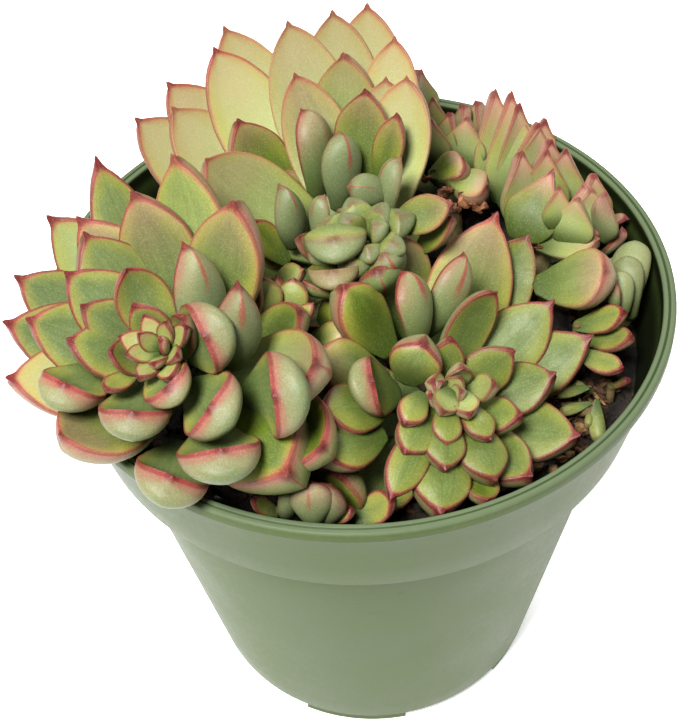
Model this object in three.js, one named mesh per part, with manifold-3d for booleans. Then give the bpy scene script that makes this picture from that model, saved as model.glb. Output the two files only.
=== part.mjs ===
// Potted mebina echeveria: a clump of fleshy rosettes in a sage green nursery pot.
// Millimetres, +Z up, the origin on the axis of the pot at the surface it stands on.
import * as THREE from 'three';
import { mergeVertices } from 'three/addons/utils/BufferGeometryUtils.js';
import Module from 'manifold-3d';

const wasm = await Module();
wasm.setup();

// Driving dimensions of the pot
const rimRadius = 57;
const potHeight = 98.6;
const wall = 1.3;
const bandHeight = 21;
const bandFootRadius = 52.4;
const wallTopRadius = 48.9;
const baseRadius = 36.3;
const footHeight = 2.3;
const floorThickness = 1.6;
const lipWidth = 2.3;
const lipDrop = 2.6;
const lipOverhang = 0.9;
const bandOffset = 0.6;
const edge = 0.3;
const segments = 28;
const footCount = 5;
const footAngle = 35;
const firstFootAngle = -100;
const footWidth = 2.9;
const footInset = 0.5;
const footOverlap = 0.4;
const padRadius = 11;
const drainRadius = 3.4;
const drainCircle = 27;
const soilLevel = 84;
const soilLump = 2.2;
const soilDip = 0.85;
const gap = 0.3;
const clearance = 0.4;

// The viewpoint that the leaf tips below are read from: a picture 679 wide and 721 high
const view = {
  focal: 1350,
  distance: 262.4,
  elevation: 47.08,
  roll: -3.84,
  target: new THREE.Vector3(-4.5, 0, 77.1),
  centre: [339.5, 360.5],
};

// Colours and finishes
const finishes = {
  pot: { color: 0x7e8c6a, roughness: 0.5, metalness: 0 },
  soil: { color: 0x2a2119, roughness: 0.95, metalness: 0 },
  grey: { color: 0x8ba67c, roughness: 0.5, metalness: 0 },
  olive: { color: 0x9aa95c, roughness: 0.5, metalness: 0 },
  pale: { color: 0xc5cc86, roughness: 0.5, metalness: 0 },
  rosy: { color: 0xb9a183, roughness: 0.5, metalness: 0 },
  bud: { color: 0xa9bd9c, roughness: 0.5, metalness: 0 },
};

// Every head: heart is the picture point of its heart and height the level of that point. The axis
// leans by lean degrees towards leanTo degrees. Tips lie on a dome with radius reach that sags by
// sag at its edge. The crown is depth below the heart, slide is how far a tip may lie before or
// behind the crown, and root is where the stem enters the soil. under holds the number of hidden
// older leaves and the angles they are spread between, and tips the picture points of the leaf tips.
const heads = [
  {
    name: 'head_left', finish: 'grey', heart: [152, 344], height: 120.5, lean: 28, leanTo: -128,
    reach: 34, sag: 7, depth: 9, slide: 22, root: [-27, -10], leafWidth: 14.5, under: [4, -30, 170],
    tips: [
      [141, 335], [157, 327], [171, 348], [148, 356], [131, 300], [187, 317], [110, 350], [104, 386],
      [201, 343], [157, 382], [126, 268], [80, 304], [66, 338], [64, 379], [133, 408], [207, 405],
      [237, 279], [180, 241], [272, 402], [221, 449], [173, 476], [131, 190], [83, 231], [64, 271],
      [25, 318], [232, 200], [314, 362], [290, 475], [321, 447], [58, 435], [5, 377], [2, 321],
      [13, 275], [46, 215], [76, 216], [95, 155], [171, 153],
    ],
  },
  {
    name: 'head_front', finish: 'grey', heart: [451, 392], height: 107, lean: 24, leanTo: -55,
    reach: 32, sag: 8, depth: 9, slide: 22, root: [14, -18], leafWidth: 12.5, under: [4, 0, 200],
    tips: [
      [448, 400], [437, 387], [466, 375], [452, 385], [469, 409], [497, 383], [419, 357], [453, 337],
      [449, 443], [494, 437], [404, 415], [516, 350], [388, 450], [410, 352], [364, 385], [523, 413],
      [444, 467], [499, 480], [556, 372], [498, 291], [399, 270], [464, 249], [322, 412], [325, 472],
      [315, 360], [343, 297], [441, 513], [533, 476], [581, 435], [594, 334], [555, 300], [498, 210],
      [398, 232], [392, 497], [528, 237], [604, 272], [623, 308], [626, 367],
    ],
  },
  {
    name: 'head_back', finish: 'pale', heart: [364, 231], height: 114, lean: 20, leanTo: -115,
    reach: 46, sag: 2, depth: 9, slide: 26, root: [-4, 16], leafWidth: 16, under: [6, 10, 170],
    tips: [
      [362, 229], [352, 210], [389, 225], [380, 247], [332, 235], [328, 209], [379, 179], [410, 165],
      [322, 273], [278, 198], [332, 132], [453, 206], [365, 88], [290, 110], [235, 117], [343, 52],
      [294, 72], [386, 76], [171, 106], [213, 46], [287, 20], [367, 2], [407, 75], [395, 35],
      [332, 9], [223, 25], [166, 81], [134, 117], [205, 158],
    ],
  },
  {
    name: 'head_right', finish: 'rosy', heart: [552, 172], height: 108, lean: 6, leanTo: 45,
    reach: 22, sag: 3, depth: 16, slide: 12, root: [35, 8], leafWidth: 9.5, under: [4, 0, 360],
    tips: [
      [560, 160], [549, 149], [567, 148], [575, 202], [556, 138], [523, 150], [582, 181], [556, 205],
      [537, 121], [549, 117], [554, 168], [597, 170], [520, 102], [512, 90], [497, 88], [600, 186],
    ],
  },
  {
    name: 'head_back_right', finish: 'rosy', heart: [447, 125], height: 105, lean: 6, leanTo: 90,
    reach: 15, sag: 2, depth: 10, slide: 6, root: [20, 26], leafWidth: 8.5, under: [3, 0, 360],
    tips: [
      [446, 130], [430, 117], [466, 117], [432, 97], [472, 98], [452, 102], [422, 69], [500, 105],
      [450, 150], [475, 166], [490, 162],
    ],
  },
  {
    name: 'head_far_right', finish: 'rosy', heart: [604, 240], height: 100, lean: 12, leanTo: 20,
    reach: 10, sag: 1, depth: 10, slide: 4, root: [43, -1], leafWidth: 6.5, under: [0, 0, 360],
    tips: [[601, 235], [593, 238], [629, 218], [621, 258], [590, 252]],
  },
  {
    name: 'head_middle', finish: 'olive', heart: [280, 288], height: 106, lean: 20, leanTo: -90,
    reach: 11, sag: 1, depth: 9, slide: 10, root: [-13, -9], leafWidth: 6.5, under: [0, 0, 360],
    tips: [
      [278, 287], [269, 292], [288, 281], [303, 268], [258, 232], [263, 243], [311, 305], [333, 330],
      [335, 306],
    ],
  },
  {
    name: 'head_rim', finish: 'bud', heart: [622, 278], height: 97, lean: 14, leanTo: 170,
    reach: 7, sag: 0, depth: 9, slide: 7, root: [43, -10], leafWidth: 7.5, under: [0, 0, 360],
    tips: [
      [612, 278], [618, 284], [622, 262], [628, 248], [610, 268],
    ],
  },
  {
    name: 'head_low', finish: 'bud', heart: [312, 492], height: 96, lean: 20, leanTo: -95,
    reach: 9, sag: 2, depth: 7, slide: 9, root: [-8, -38], leafWidth: 7.5, under: [0, 0, 360],
    tips: [
      [310, 488], [322, 486], [300, 494], [352, 508], [283, 474], [256, 500], [390, 502],
    ],
  },
  {
    name: 'head_seedling', finish: 'bud', heart: [583, 402], height: 88.6, lean: 10, leanTo: -60,
    reach: 7, sag: 0, depth: 3.5, slide: 4, root: [35, -23], leafWidth: 4, under: [0, 0, 360],
    tips: [[578, 394], [588, 384], [555, 391], [590, 404], [562, 408], [600, 428]],
  },
];

const dice = { value: 7, factor: 48271, modulus: 2147483647 };

// A small seeded random draw, the same on every run
function draw() {
  dice.value = (dice.value * dice.factor) % dice.modulus;
  return dice.value / dice.modulus;
}

const radians = (degrees) => degrees * Math.PI / 180;

// Solids: a closed mesh becomes a solid, and a solid becomes a mesh again
function toSolid(geometry) {
  const bare = geometry.clone();
  bare.deleteAttribute('normal');
  bare.deleteAttribute('uv');
  const merged = mergeVertices(bare, 1e-4);
  return new wasm.Manifold(new wasm.Mesh({
    numProp: 3,
    vertProperties: new Float32Array(merged.attributes.position.array),
    triVerts: new Uint32Array(merged.index.array),
  }));
}

function toGeometry(solid) {
  const mesh = solid.getMesh();
  const geometry = new THREE.BufferGeometry();
  geometry.setAttribute('position', new THREE.BufferAttribute(new Float32Array(mesh.vertProperties), 3));
  geometry.setIndex(new THREE.BufferAttribute(new Uint32Array(mesh.triVerts), 1));
  return geometry;
}

// The largest piece of a solid, without loose scraps
function largest(solid) {
  const pieces = solid.decompose();
  pieces.sort((one, other) => other.volume() - one.volume());
  return pieces[0];
}

// The ray from the viewpoint through a picture point
const viewRay = (() => {
  const tilt = radians(view.elevation);
  const back = new THREE.Vector3(0, -Math.cos(tilt), Math.sin(tilt));
  const eye = view.target.clone().addScaledVector(back, view.distance);
  const ahead = back.clone().negate();
  const right = new THREE.Vector3(1, 0, 0);
  const up = right.clone().cross(ahead);
  const turn = radians(view.roll);
  const across = right.clone().multiplyScalar(Math.cos(turn)).addScaledVector(up, Math.sin(turn));
  const upright = right.clone().multiplyScalar(-Math.sin(turn)).addScaledVector(up, Math.cos(turn));
  return ([x, y]) => {
    const direction = ahead.clone();
    direction.addScaledVector(across, (x - view.centre[0]) / view.focal);
    direction.addScaledVector(upright, -(y - view.centre[1]) / view.focal);
    return { eye, direction };
  };
})();

function pointAtHeight(pixel, height) {
  const { eye, direction } = viewRay(pixel);
  return eye.clone().addScaledVector(direction, (height - eye.z) / direction.z);
}

// Leaf form: half width and thickness along the leaf, as shares of the greatest. Both swell from
// the base to their greatest and round off towards the tip.
const widthForm = { greatest: 0.64, base: 0.26, swell: 1.1, fall: 2.3, blunt: 0.62 };
const thicknessForm = { greatest: 0.55, base: 0.62, swell: 1, fall: 2.6, blunt: 0.75 };

function formShare(form, s) {
  if (s < form.greatest) {
    return form.base + (1 - form.base) * Math.sin(Math.PI / 2 * s / form.greatest) ** form.swell;
  }
  const past = (s - form.greatest) / (1 - form.greatest);
  return Math.max(0, 1 - past ** form.fall) ** form.blunt;
}

// Cross-sections of a leaf, as pairs of sideways and down: nearly flat above and keeled below
const longSection = [[1, 0], [0, -0.06], [-1, 0], [-0.5, -0.88], [0.5, -0.88]];
const shortSection = [[1, 0], [0, -0.06], [-1, 0], [0, -1]];

// One fleshy leaf: an arc from its base to its tip, grown all round by extra
function leafGeometry(leaf, extra = 0) {
  const { base, tip, axis, curl, width, thickness, roll, stations, section } = leaf;
  const chord = tip.clone().sub(base);
  const reach = chord.length();
  const along = chord.clone().normalize();
  const inward = axis.clone().addScaledVector(along, -axis.dot(along)).normalize();
  inward.applyAxisAngle(along, roll);
  const side = along.clone().cross(inward);
  const length = reach * (curl / 2) / Math.sin(curl / 2);
  const points = [];
  for (const s of stations) {
    const angle = curl * (s - 0.5);
    const middle = base.clone();
    middle.addScaledVector(along, length / curl * (Math.sin(angle) + Math.sin(curl / 2)));
    middle.addScaledVector(inward, length / curl * (Math.cos(curl / 2) - Math.cos(angle)));
    const upward = along.clone().multiplyScalar(-Math.sin(angle)).addScaledVector(inward, Math.cos(angle));
    const half = formShare(widthForm, s) * width / 2 + extra;
    const deep = formShare(thicknessForm, s) * thickness;
    for (const [sideways, down] of section) {
      const lift = Math.abs(sideways) === 1 ? 0 : Math.sign(down + 0.5) * extra;
      const point = middle.clone();
      point.addScaledVector(side, sideways * half);
      point.addScaledVector(upward, down * deep + lift);
      points.push(point);
    }
  }
  points.push(tip.clone().addScaledVector(along, extra));
  const sides = section.length;
  const index = [];
  for (let ring = 0; ring < stations.length - 1; ring += 1) {
    for (let k = 0; k < sides; k += 1) {
      const a = ring * sides + k;
      const b = ring * sides + (k + 1) % sides;
      index.push(a, a + sides, b, b, a + sides, b + sides);
    }
  }
  const last = (stations.length - 1) * sides;
  for (let k = 0; k < sides; k += 1) index.push(last + (k + 1) % sides, last + k, points.length - 1);
  for (let k = 1; k < sides - 1; k += 1) index.push(0, k, k + 1);
  const geometry = new THREE.BufferGeometry();
  geometry.setAttribute('position', new THREE.BufferAttribute(
    new Float32Array(points.flatMap((p) => p.toArray())), 3));
  geometry.setIndex(index);
  return geometry;
}

const longLeaf = 19;
const longStations = [0.02, 0.38, 0.7, 0.91];
const shortStations = [0.02, 0.5, 0.86];
const underReach = 0.6;
const underDrop = 9;
const underWidth = 0.9;
const slenderness = 0.52;
const plumpness = 0.33;
const leastThickness = 0.8;
const heartCurl = 12;
const outerCurl = 42;
const rollSpread = 10;
const baseSpread = { start: 0.4, growth: 0.8 };
const baseDescent = { share: 0.42, power: 1.3 };

// The leaves of a head: every tip lies on a shallow dome round the axis, on its own line of sight
function headLeaves(head) {
  const lean = radians(head.lean);
  const to = radians(head.leanTo);
  const axis = new THREE.Vector3(
    Math.sin(lean) * Math.cos(to), Math.sin(lean) * Math.sin(to), Math.cos(lean));
  const heart = pointAtHeight(head.heart, head.height);
  const crown = heart.clone().addScaledVector(axis, -head.depth);
  const root = new THREE.Vector3(head.root[0], head.root[1], soilLevel);
  const stem = root.clone().sub(crown);
  const leaves = [];
  const addLeaf = (tip, share, widthFactor = 1) => {
    const base = crown.clone();
    base.addScaledVector(stem, baseDescent.share * share ** baseDescent.power);
    const outward = tip.clone().sub(base);
    outward.addScaledVector(axis, -outward.dot(axis)).normalize();
    base.addScaledVector(outward, baseSpread.start + baseSpread.growth * share);
    const size = tip.distanceTo(base);
    const width = Math.min(head.leafWidth, size * slenderness) * widthFactor;
    leaves.push({
      base, tip, axis, width,
      curl: radians(heartCurl + outerCurl * share),
      thickness: Math.max(leastThickness, width * plumpness),
      roll: radians(rollSpread) * (draw() - 0.5),
      stations: size > longLeaf ? longStations : shortStations,
      section: size > longLeaf ? longSection : shortSection,
    });
  };
  for (const pixel of head.tips) {
    const { eye, direction } = viewRay(pixel);
    const nearest = crown.clone().sub(eye).dot(direction) / direction.lengthSq();
    const slide = head.slide / direction.length();
    let far = heart.clone().sub(eye).dot(axis) / direction.dot(axis);
    let share = 0;
    for (let step = 0; step < 12; step += 1) {
      const point = eye.clone().addScaledVector(direction, far);
      const offset = point.sub(heart);
      const height = offset.dot(axis);
      const radius = Math.sqrt(Math.max(0, offset.lengthSq() - height * height));
      share = Math.min(1, radius / head.reach);
      far -= (height + head.sag * share * share) / direction.dot(axis);
      far = Math.min(nearest + slide * 0.9, Math.max(nearest - slide, far));
    }
    addLeaf(eye.clone().addScaledVector(direction, far), share);
  }
  const aside = new THREE.Vector3(1, 0, 0).addScaledVector(axis, -axis.x).normalize();
  const [underCount, underFrom, underTo] = head.under;
  for (let k = 0; k < underCount; k += 1) {
    const turn = radians(underFrom + (underTo - underFrom) * (k + 0.5 * draw()) / underCount);
    const outward = aside.clone().applyAxisAngle(axis, turn);
    const tip = heart.clone().addScaledVector(outward, head.reach * underReach);
    tip.addScaledVector(axis, -head.sag - underDrop);
    addLeaf(tip, 1, underWidth);
  }
  return { leaves, crown, root, axis };
}

// A tapering round stem between two points
function stemGeometry(from, to, radiusFrom, radiusTo, sides = 7) {
  const length = from.distanceTo(to);
  const geometry = new THREE.CylinderGeometry(radiusFrom, radiusTo, length, sides);
  const up = from.clone().sub(to).normalize();
  geometry.applyQuaternion(new THREE.Quaternion().setFromUnitVectors(new THREE.Vector3(0, 1, 0), up));
  const middle = from.clone().add(to).multiplyScalar(0.5);
  geometry.translate(middle.x, middle.y, middle.z);
  return geometry;
}

const stemRadius = 2.4;
const stemTopRadius = 3;
const stemFootShare = 0.8;
const stemDepth = 9;
const kneeHeight = 3.5;
const coreShare = 0.6;
const leastCore = 1.4;
const coreClearance = 2;

// One head as a single solid: its leaves, a round core at the crown and a stem that stands upright
// in the soil
function headSolid(head, plan, extra = 0) {
  const { leaves, crown, root, axis } = plan;
  const parts = leaves.map((leaf) => toSolid(leafGeometry(leaf, extra)));
  const room = crown.z - soilLevel - coreClearance;
  const coreRadius = Math.max(leastCore, Math.min(coreShare * head.depth, room));
  const core = new THREE.IcosahedronGeometry(coreRadius + extra, 1);
  core.translate(crown.x, crown.y, crown.z);
  parts.push(toSolid(core));
  const foot = root.clone().setZ(root.z - stemDepth);
  const knee = root.clone().setZ(root.z + kneeHeight);
  const top = crown.clone().addScaledVector(axis, 1);
  parts.push(toSolid(stemGeometry(top, knee, stemTopRadius + extra, stemRadius + extra)));
  parts.push(toSolid(stemGeometry(knee, foot, stemRadius + extra, stemRadius * stemFootShare + extra)));
  return parts.reduce((whole, part) => whole.add(part));
}

// The outline of a lathe or of an arc, from pairs of radius and height
const profile = (pairs) => pairs.map(([radius, height]) => new THREE.Vector2(radius, height));

function turned(pairs, segments) {
  const geometry = new THREE.LatheGeometry(profile(pairs), segments);
  geometry.rotateX(Math.PI / 2);
  return geometry;
}

// An upright round bar from one height to another
function bar(x, y, from, to, radius, sides) {
  const geometry = new THREE.CylinderGeometry(radius, radius, to - from, sides);
  geometry.rotateX(Math.PI / 2);
  geometry.translate(x, y, (from + to) / 2);
  return toSolid(geometry);
}

const bandFoot = potHeight - bandHeight;
const underLip = rimRadius - lipOverhang;
const floorTop = footHeight + floorThickness;
const lipFoot = potHeight - lipDrop - 1;

// The pot: one thin wall from the floor to the rolled lip, with feet, a pad and drains in the floor
function potSolid() {
  const lipInner = rimRadius - lipWidth;
  const shell = turned([
    [0, footHeight],
    [baseRadius, footHeight],
    [wallTopRadius, bandFoot],
    [bandFootRadius, bandFoot],
    [underLip, potHeight - lipDrop],
    [rimRadius, potHeight - lipDrop],
    [rimRadius, potHeight - lipWidth / 2],
    [rimRadius - lipWidth / 2, potHeight],
    [lipInner, potHeight],
    [underLip - wall - edge, lipFoot],
    [bandFootRadius - wall, bandFoot + wall + bandOffset],
    [wallTopRadius - wall, bandFoot - wall],
    [baseRadius - wall - bandOffset, floorTop],
    [0, floorTop],
  ], segments);
  let solid = toSolid(shell);
  const footTop = footHeight + footOverlap;
  const footOuter = baseRadius - footInset;
  for (let k = 0; k < footCount; k += 1) {
    const middle = firstFootAngle + k * 360 / footCount;
    const from = radians(middle - footAngle / 2);
    const to = radians(middle + footAngle / 2);
    const arc = new THREE.Shape();
    arc.absarc(0, 0, footOuter, from, to, false);
    arc.absarc(0, 0, footOuter - footWidth, to, from, true);
    arc.closePath();
    const foot = new THREE.ExtrudeGeometry(arc, { depth: footTop, bevelEnabled: false, curveSegments: 3 });
    solid = solid.add(toSolid(foot));
  }
  solid = solid.add(bar(0, 0, 0, footTop, padRadius, 12));
  for (let k = 0; k < footCount; k += 1) {
    const angle = radians(firstFootAngle + (k + 0.5) * 360 / footCount);
    const x = drainCircle * Math.cos(angle);
    const y = drainCircle * Math.sin(angle);
    solid = solid.subtract(bar(x, y, 0, floorTop + 1, drainRadius, 6));
  }
  return solid;
}

// The soil: it fills the pot from the floor up, with a lumpy top and a plain hole for each stem
function soilSolid(plans) {
  const floor = floorTop + gap;
  const bandStart = bandFoot + wall + bandOffset;
  const slope = (underLip - bandFootRadius) / (lipFoot - bandStart);
  const topRadius = bandFootRadius - wall - gap + (soilLevel - bandStart) * slope;
  const mass = turned([
    [0, floor],
    [baseRadius - wall - bandOffset - gap - 0.1, floor],
    [wallTopRadius - wall - gap, bandFoot - wall],
    [bandFootRadius - wall - gap - 0.1, bandStart],
    [topRadius - 0.2, soilLevel - bandOffset],
    [topRadius * 0.82, soilLevel],
    [topRadius * 0.6, soilLevel],
    [topRadius * 0.36, soilLevel],
    [topRadius * 0.16, soilLevel],
    [0, soilLevel],
  ], segments);
  mass.deleteAttribute('normal');
  mass.deleteAttribute('uv');
  const lumpy = mergeVertices(mass, 1e-4);
  const place = lumpy.attributes.position;
  for (let k = 0; k < place.count; k += 1) {
    const radius = Math.hypot(place.getX(k), place.getY(k));
    const onTop = place.getZ(k) > soilLevel - 0.1;
    if (onTop && radius < topRadius * 0.9) place.setZ(k, soilLevel + soilLump * (draw() - soilDip));
  }
  let solid = toSolid(lumpy);
  for (const { root } of plans) {
    const low = soilLevel - stemDepth - gap;
    solid = solid.subtract(bar(root.x, root.y, low, soilLevel + stemDepth, stemRadius + gap, 8));
  }
  return solid;
}

// The whole plant in its pot
const model = new THREE.Group();

function addNode(name, solid, finish) {
  const mesh = new THREE.Mesh(toGeometry(solid), new THREE.MeshStandardMaterial(finishes[finish]));
  mesh.name = name;
  model.add(mesh);
}

addNode('pot', potSolid(), 'pot');
const plans = heads.map(headLeaves);
addNode('soil', soilSolid(plans), 'soil');

// Each head gives way to the heads before it, so that no leaf crosses another head's leaf
let taken = null;
heads.forEach((head, k) => {
  const whole = headSolid(head, plans[k]);
  const clear = taken ? whole.subtract(taken) : whole;
  addNode(head.name, largest(clear), head.finish);
  const grown = headSolid(head, plans[k], clearance);
  taken = taken ? taken.add(grown) : grown;
});

export default model;
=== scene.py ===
# %% [markdown]
# A clump of fleshy rosettes in a sage green nursery pot.
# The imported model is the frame: every piece below is made in metres at the place that it gives.
# Three things carry the look: the form of one leaf, the way that leaves are set round a heart, and
# the colour that runs from the green middle of a leaf to its red edge.

# %% The frame
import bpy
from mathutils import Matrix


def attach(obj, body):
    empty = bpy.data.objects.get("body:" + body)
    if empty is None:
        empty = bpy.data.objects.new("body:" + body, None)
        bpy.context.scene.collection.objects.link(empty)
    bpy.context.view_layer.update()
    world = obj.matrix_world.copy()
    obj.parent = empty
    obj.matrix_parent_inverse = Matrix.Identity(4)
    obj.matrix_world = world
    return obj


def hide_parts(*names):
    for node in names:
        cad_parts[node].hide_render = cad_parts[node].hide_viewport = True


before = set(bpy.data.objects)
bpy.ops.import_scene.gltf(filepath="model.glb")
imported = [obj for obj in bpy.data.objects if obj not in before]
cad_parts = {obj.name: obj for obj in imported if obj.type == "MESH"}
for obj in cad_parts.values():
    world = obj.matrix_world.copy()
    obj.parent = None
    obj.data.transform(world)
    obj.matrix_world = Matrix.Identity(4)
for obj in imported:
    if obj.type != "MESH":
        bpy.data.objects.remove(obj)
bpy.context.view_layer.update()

# %% Tools of the trade
import math
import random
import bpy
from mathutils import Matrix, Vector, noise

MM = 0.001
scene = bpy.context.scene


def shade(red, green, blue):
    """A colour given as it looks on screen, 0 to 255, in the light values that materials use."""
    def light(value):
        value = value / 255
        return value / 12.92 if value <= 0.04045 else ((value + 0.055) / 1.055) ** 2.4
    return (light(red), light(green), light(blue), 1.0)


# %% [markdown]
# The camera stands in front of the pot and looks down at it, close by, so the pot tapers strongly.
# Its place was found by fitting the rim, the band and the base of the pot to their outlines.
# The same view is used further on to place each leaf tip on its own line of sight.

# %% The camera
VIEW_WIDTH, VIEW_HEIGHT = 679, 721
FOCAL = 1350
DISTANCE = 262.4
ELEVATION = math.radians(47.08)
ROLL = math.radians(-3.84)
TARGET = Vector((-4.5, 0, 77.1))
SENSOR = 36

back = Vector((0, -math.cos(ELEVATION), math.sin(ELEVATION)))
level = Vector((1, 0, 0))
rise = level.cross(-back)
across = level * math.cos(ROLL) + rise * math.sin(ROLL)
upright = -level * math.sin(ROLL) + rise * math.cos(ROLL)
eye = TARGET + back * DISTANCE

camera_data = bpy.data.cameras.new("camera")
camera_data.sensor_fit = "VERTICAL"
camera_data.sensor_height = SENSOR
camera_data.lens = FOCAL * SENSOR / VIEW_HEIGHT
camera_data.clip_start = 0.01
camera = bpy.data.objects.new("camera", camera_data)
turn = Matrix((across, upright, back)).transposed()
camera.matrix_world = Matrix.Translation(eye * MM) @ turn.to_4x4()
scene.collection.objects.link(camera)
scene.camera = camera
print("camera at", [round(v, 1) for v in eye], "mm, lens", round(camera_data.lens, 1), "mm")

# %% [markdown]
# Plants in a light room have soft shadows with dark gaps between the leaves.
# A wide panel overhead gives the main light, a weaker one at each side rounds the forms, and the
# pale surroundings fill the rest. The floor is plain and pale.

# %% Light and floor
scene.view_settings.view_transform = "Standard"
scene.view_settings.look = "None"
world = bpy.data.worlds.new("pale_room")
scene.world = world
world.use_nodes = True
world.node_tree.nodes["Background"].inputs["Color"].default_value = (1, 1, 1, 1)
world.node_tree.nodes["Background"].inputs["Strength"].default_value = 0.09


def panel(name, place, aim, size, power):
    """A soft square light at a place, turned to what it lights."""
    data = bpy.data.lights.new(name, "AREA")
    data.size = size
    data.energy = power
    lamp = bpy.data.objects.new(name, data)
    lamp.location = place
    lamp.rotation_euler = (Vector(aim) - Vector(place)).to_track_quat("-Z", "Y").to_euler()
    scene.collection.objects.link(lamp)
    return lamp


panel("key_panel", (-0.20, -0.32, 0.74), (0, 0, 0.09), 0.24, 15.5)
panel("left_panel", (-0.7, 0.0, 0.35), (0, 0, 0.05), 0.5, 1.15)
panel("right_panel", (0.7, 0.0, 0.35), (0, 0, 0.05), 0.5, 1.6)
panel("back_panel", (0.2, 0.5, 0.7), (0, 0, 0.10), 0.4, 3.6)

floor_mesh = bpy.data.meshes.new("floor")
floor_half = 3.0
floor_mesh.from_pydata([(-floor_half, -floor_half, 0), (floor_half, -floor_half, 0),
                        (floor_half, floor_half, 0), (-floor_half, floor_half, 0)], [], [(0, 1, 2, 3)])
floor = bpy.data.objects.new("floor", floor_mesh)
scene.collection.objects.link(floor)
paint = bpy.data.materials.new("floor_paint")
paint.use_nodes = True
paint.node_tree.nodes["Principled BSDF"].inputs["Base Color"].default_value = (0.95, 0.95, 0.94, 1)
paint.node_tree.nodes["Principled BSDF"].inputs["Emission Color"].default_value = (1, 1, 1, 1)
paint.node_tree.nodes["Principled BSDF"].inputs["Emission Strength"].default_value = 0.5
paint.node_tree.nodes["Principled BSDF"].inputs["Roughness"].default_value = 0.7
floor_mesh.materials.append(paint)

# %% [markdown]
# Node trees are easier to read as arithmetic than as boxes and wires.
# A Number stands for one value that a tree works out at every point, and plus, times and so on add
# the node that does that sum. The same helper serves shapes (Geometry Nodes) and materials.

# %% Numbers that a node tree works out


class Number:
    def __init__(self, tree, socket):
        self.tree, self.socket = tree, socket

    def _sum(self, operation, *values):
        node = self.tree.nodes.new("ShaderNodeMath")
        node.operation = operation
        for slot, value in zip(node.inputs, values):
            join(self.tree, value, slot)
        return Number(self.tree, node.outputs[0])

    def __add__(self, other):
        return self._sum("ADD", self, other)

    def __mul__(self, other):
        return self._sum("MULTIPLY", self, other)

    def __sub__(self, other):
        return self._sum("SUBTRACT", self, other)

    def __rsub__(self, other):
        return self._sum("SUBTRACT", other, self)

    def __truediv__(self, other):
        return self._sum("DIVIDE", self, other)

    def __pow__(self, other):
        return self._sum("POWER", self, other)

    __radd__ = __add__
    __rmul__ = __mul__

    def sine(self):
        return self._sum("SINE", self)

    def cosine(self):
        return self._sum("COSINE", self)

    def size(self):
        return self._sum("ABSOLUTE", self)

    def least(self, other):
        return self._sum("MINIMUM", self, other)

    def most(self, other):
        return self._sum("MAXIMUM", self, other)

    def ramp(self, start, end, low=0.0, high=1.0):
        """Runs smoothly from low to high as the number goes from start to end."""
        node = self.tree.nodes.new("ShaderNodeMapRange")
        node.interpolation_type = "SMOOTHSTEP"
        for name, value in (("Value", self), ("From Min", start), ("From Max", end),
                            ("To Min", low), ("To Max", high)):
            join(self.tree, value, node.inputs[name])
        return Number(self.tree, node.outputs["Result"])


def join(tree, value, slot):
    """Puts a number, a socket or a plain value into an input."""
    if isinstance(value, Number):
        tree.links.new(value.socket, slot)
    elif isinstance(value, bpy.types.NodeSocket):
        tree.links.new(value, slot)
    else:
        slot.default_value = value


def noise_number(tree, place, scale, detail=2.0, roughness=0.5, distortion=0.0):
    node = tree.nodes.new("ShaderNodeTexNoise")
    if place is not None:
        join(tree, place, node.inputs["Vector"])
    node.inputs["Scale"].default_value = scale
    node.inputs["Detail"].default_value = detail
    node.inputs["Roughness"].default_value = roughness
    node.inputs["Distortion"].default_value = distortion
    return Number(tree, node.outputs["Fac"])


def blend_colour(tree, amount, first, second):
    """first where amount is 0, second where it is 1."""
    node = tree.nodes.new("ShaderNodeMix")
    node.data_type = "RGBA"
    join(tree, amount, node.inputs["Factor"])
    join(tree, first, node.inputs["A"])
    join(tree, second, node.inputs["B"])
    return node.outputs["Result"]


# %% Materials start the same way


def new_material(name, roughness, specular=0.5):
    """A material with its tree, its shader and the socket of Object coordinates."""
    material = bpy.data.materials.new(name)
    material.use_nodes = True
    tree = material.node_tree
    shader = tree.nodes["Principled BSDF"]
    shader.inputs["Roughness"].default_value = roughness
    shader.inputs["Specular IOR Level"].default_value = specular
    place = tree.nodes.new("ShaderNodeTexCoord").outputs["Object"]
    return material, tree, shader, place


def add_bump(tree, shader, height, strength, distance):
    node = tree.nodes.new("ShaderNodeBump")
    node.inputs["Strength"].default_value = strength
    node.inputs["Distance"].default_value = distance
    join(tree, height, node.inputs["Height"])
    tree.links.new(node.outputs["Normal"], shader.inputs["Normal"])


def finish_piece(mesh_or_object, name, replaced=(), material=None):
    """Puts a finished mesh in the scene at the origin and ties it to the frame."""
    if isinstance(mesh_or_object, bpy.types.Mesh):
        piece = bpy.data.objects.new(name, mesh_or_object)
        scene.collection.objects.link(piece)
    else:
        piece = mesh_or_object
    if material is not None:
        piece.data.materials.clear()
        piece.data.materials.append(material)
    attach(piece, "root")
    for node in replaced:
        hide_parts(node)
    print(name, len(piece.data.vertices), "points", len(piece.data.polygons), "faces")
    return piece


# %% [markdown]
# The pot is one moulded piece of thin plastic: a rolled lip, a deep upright band under it, a wall
# that tapers to the base, and a foot ring broken by notches that let water out.
# It is turned like pottery: an outline is spun round the axis in many fine steps, with small round
# bevels at the edges, because plastic never has a truly sharp corner.

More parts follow.
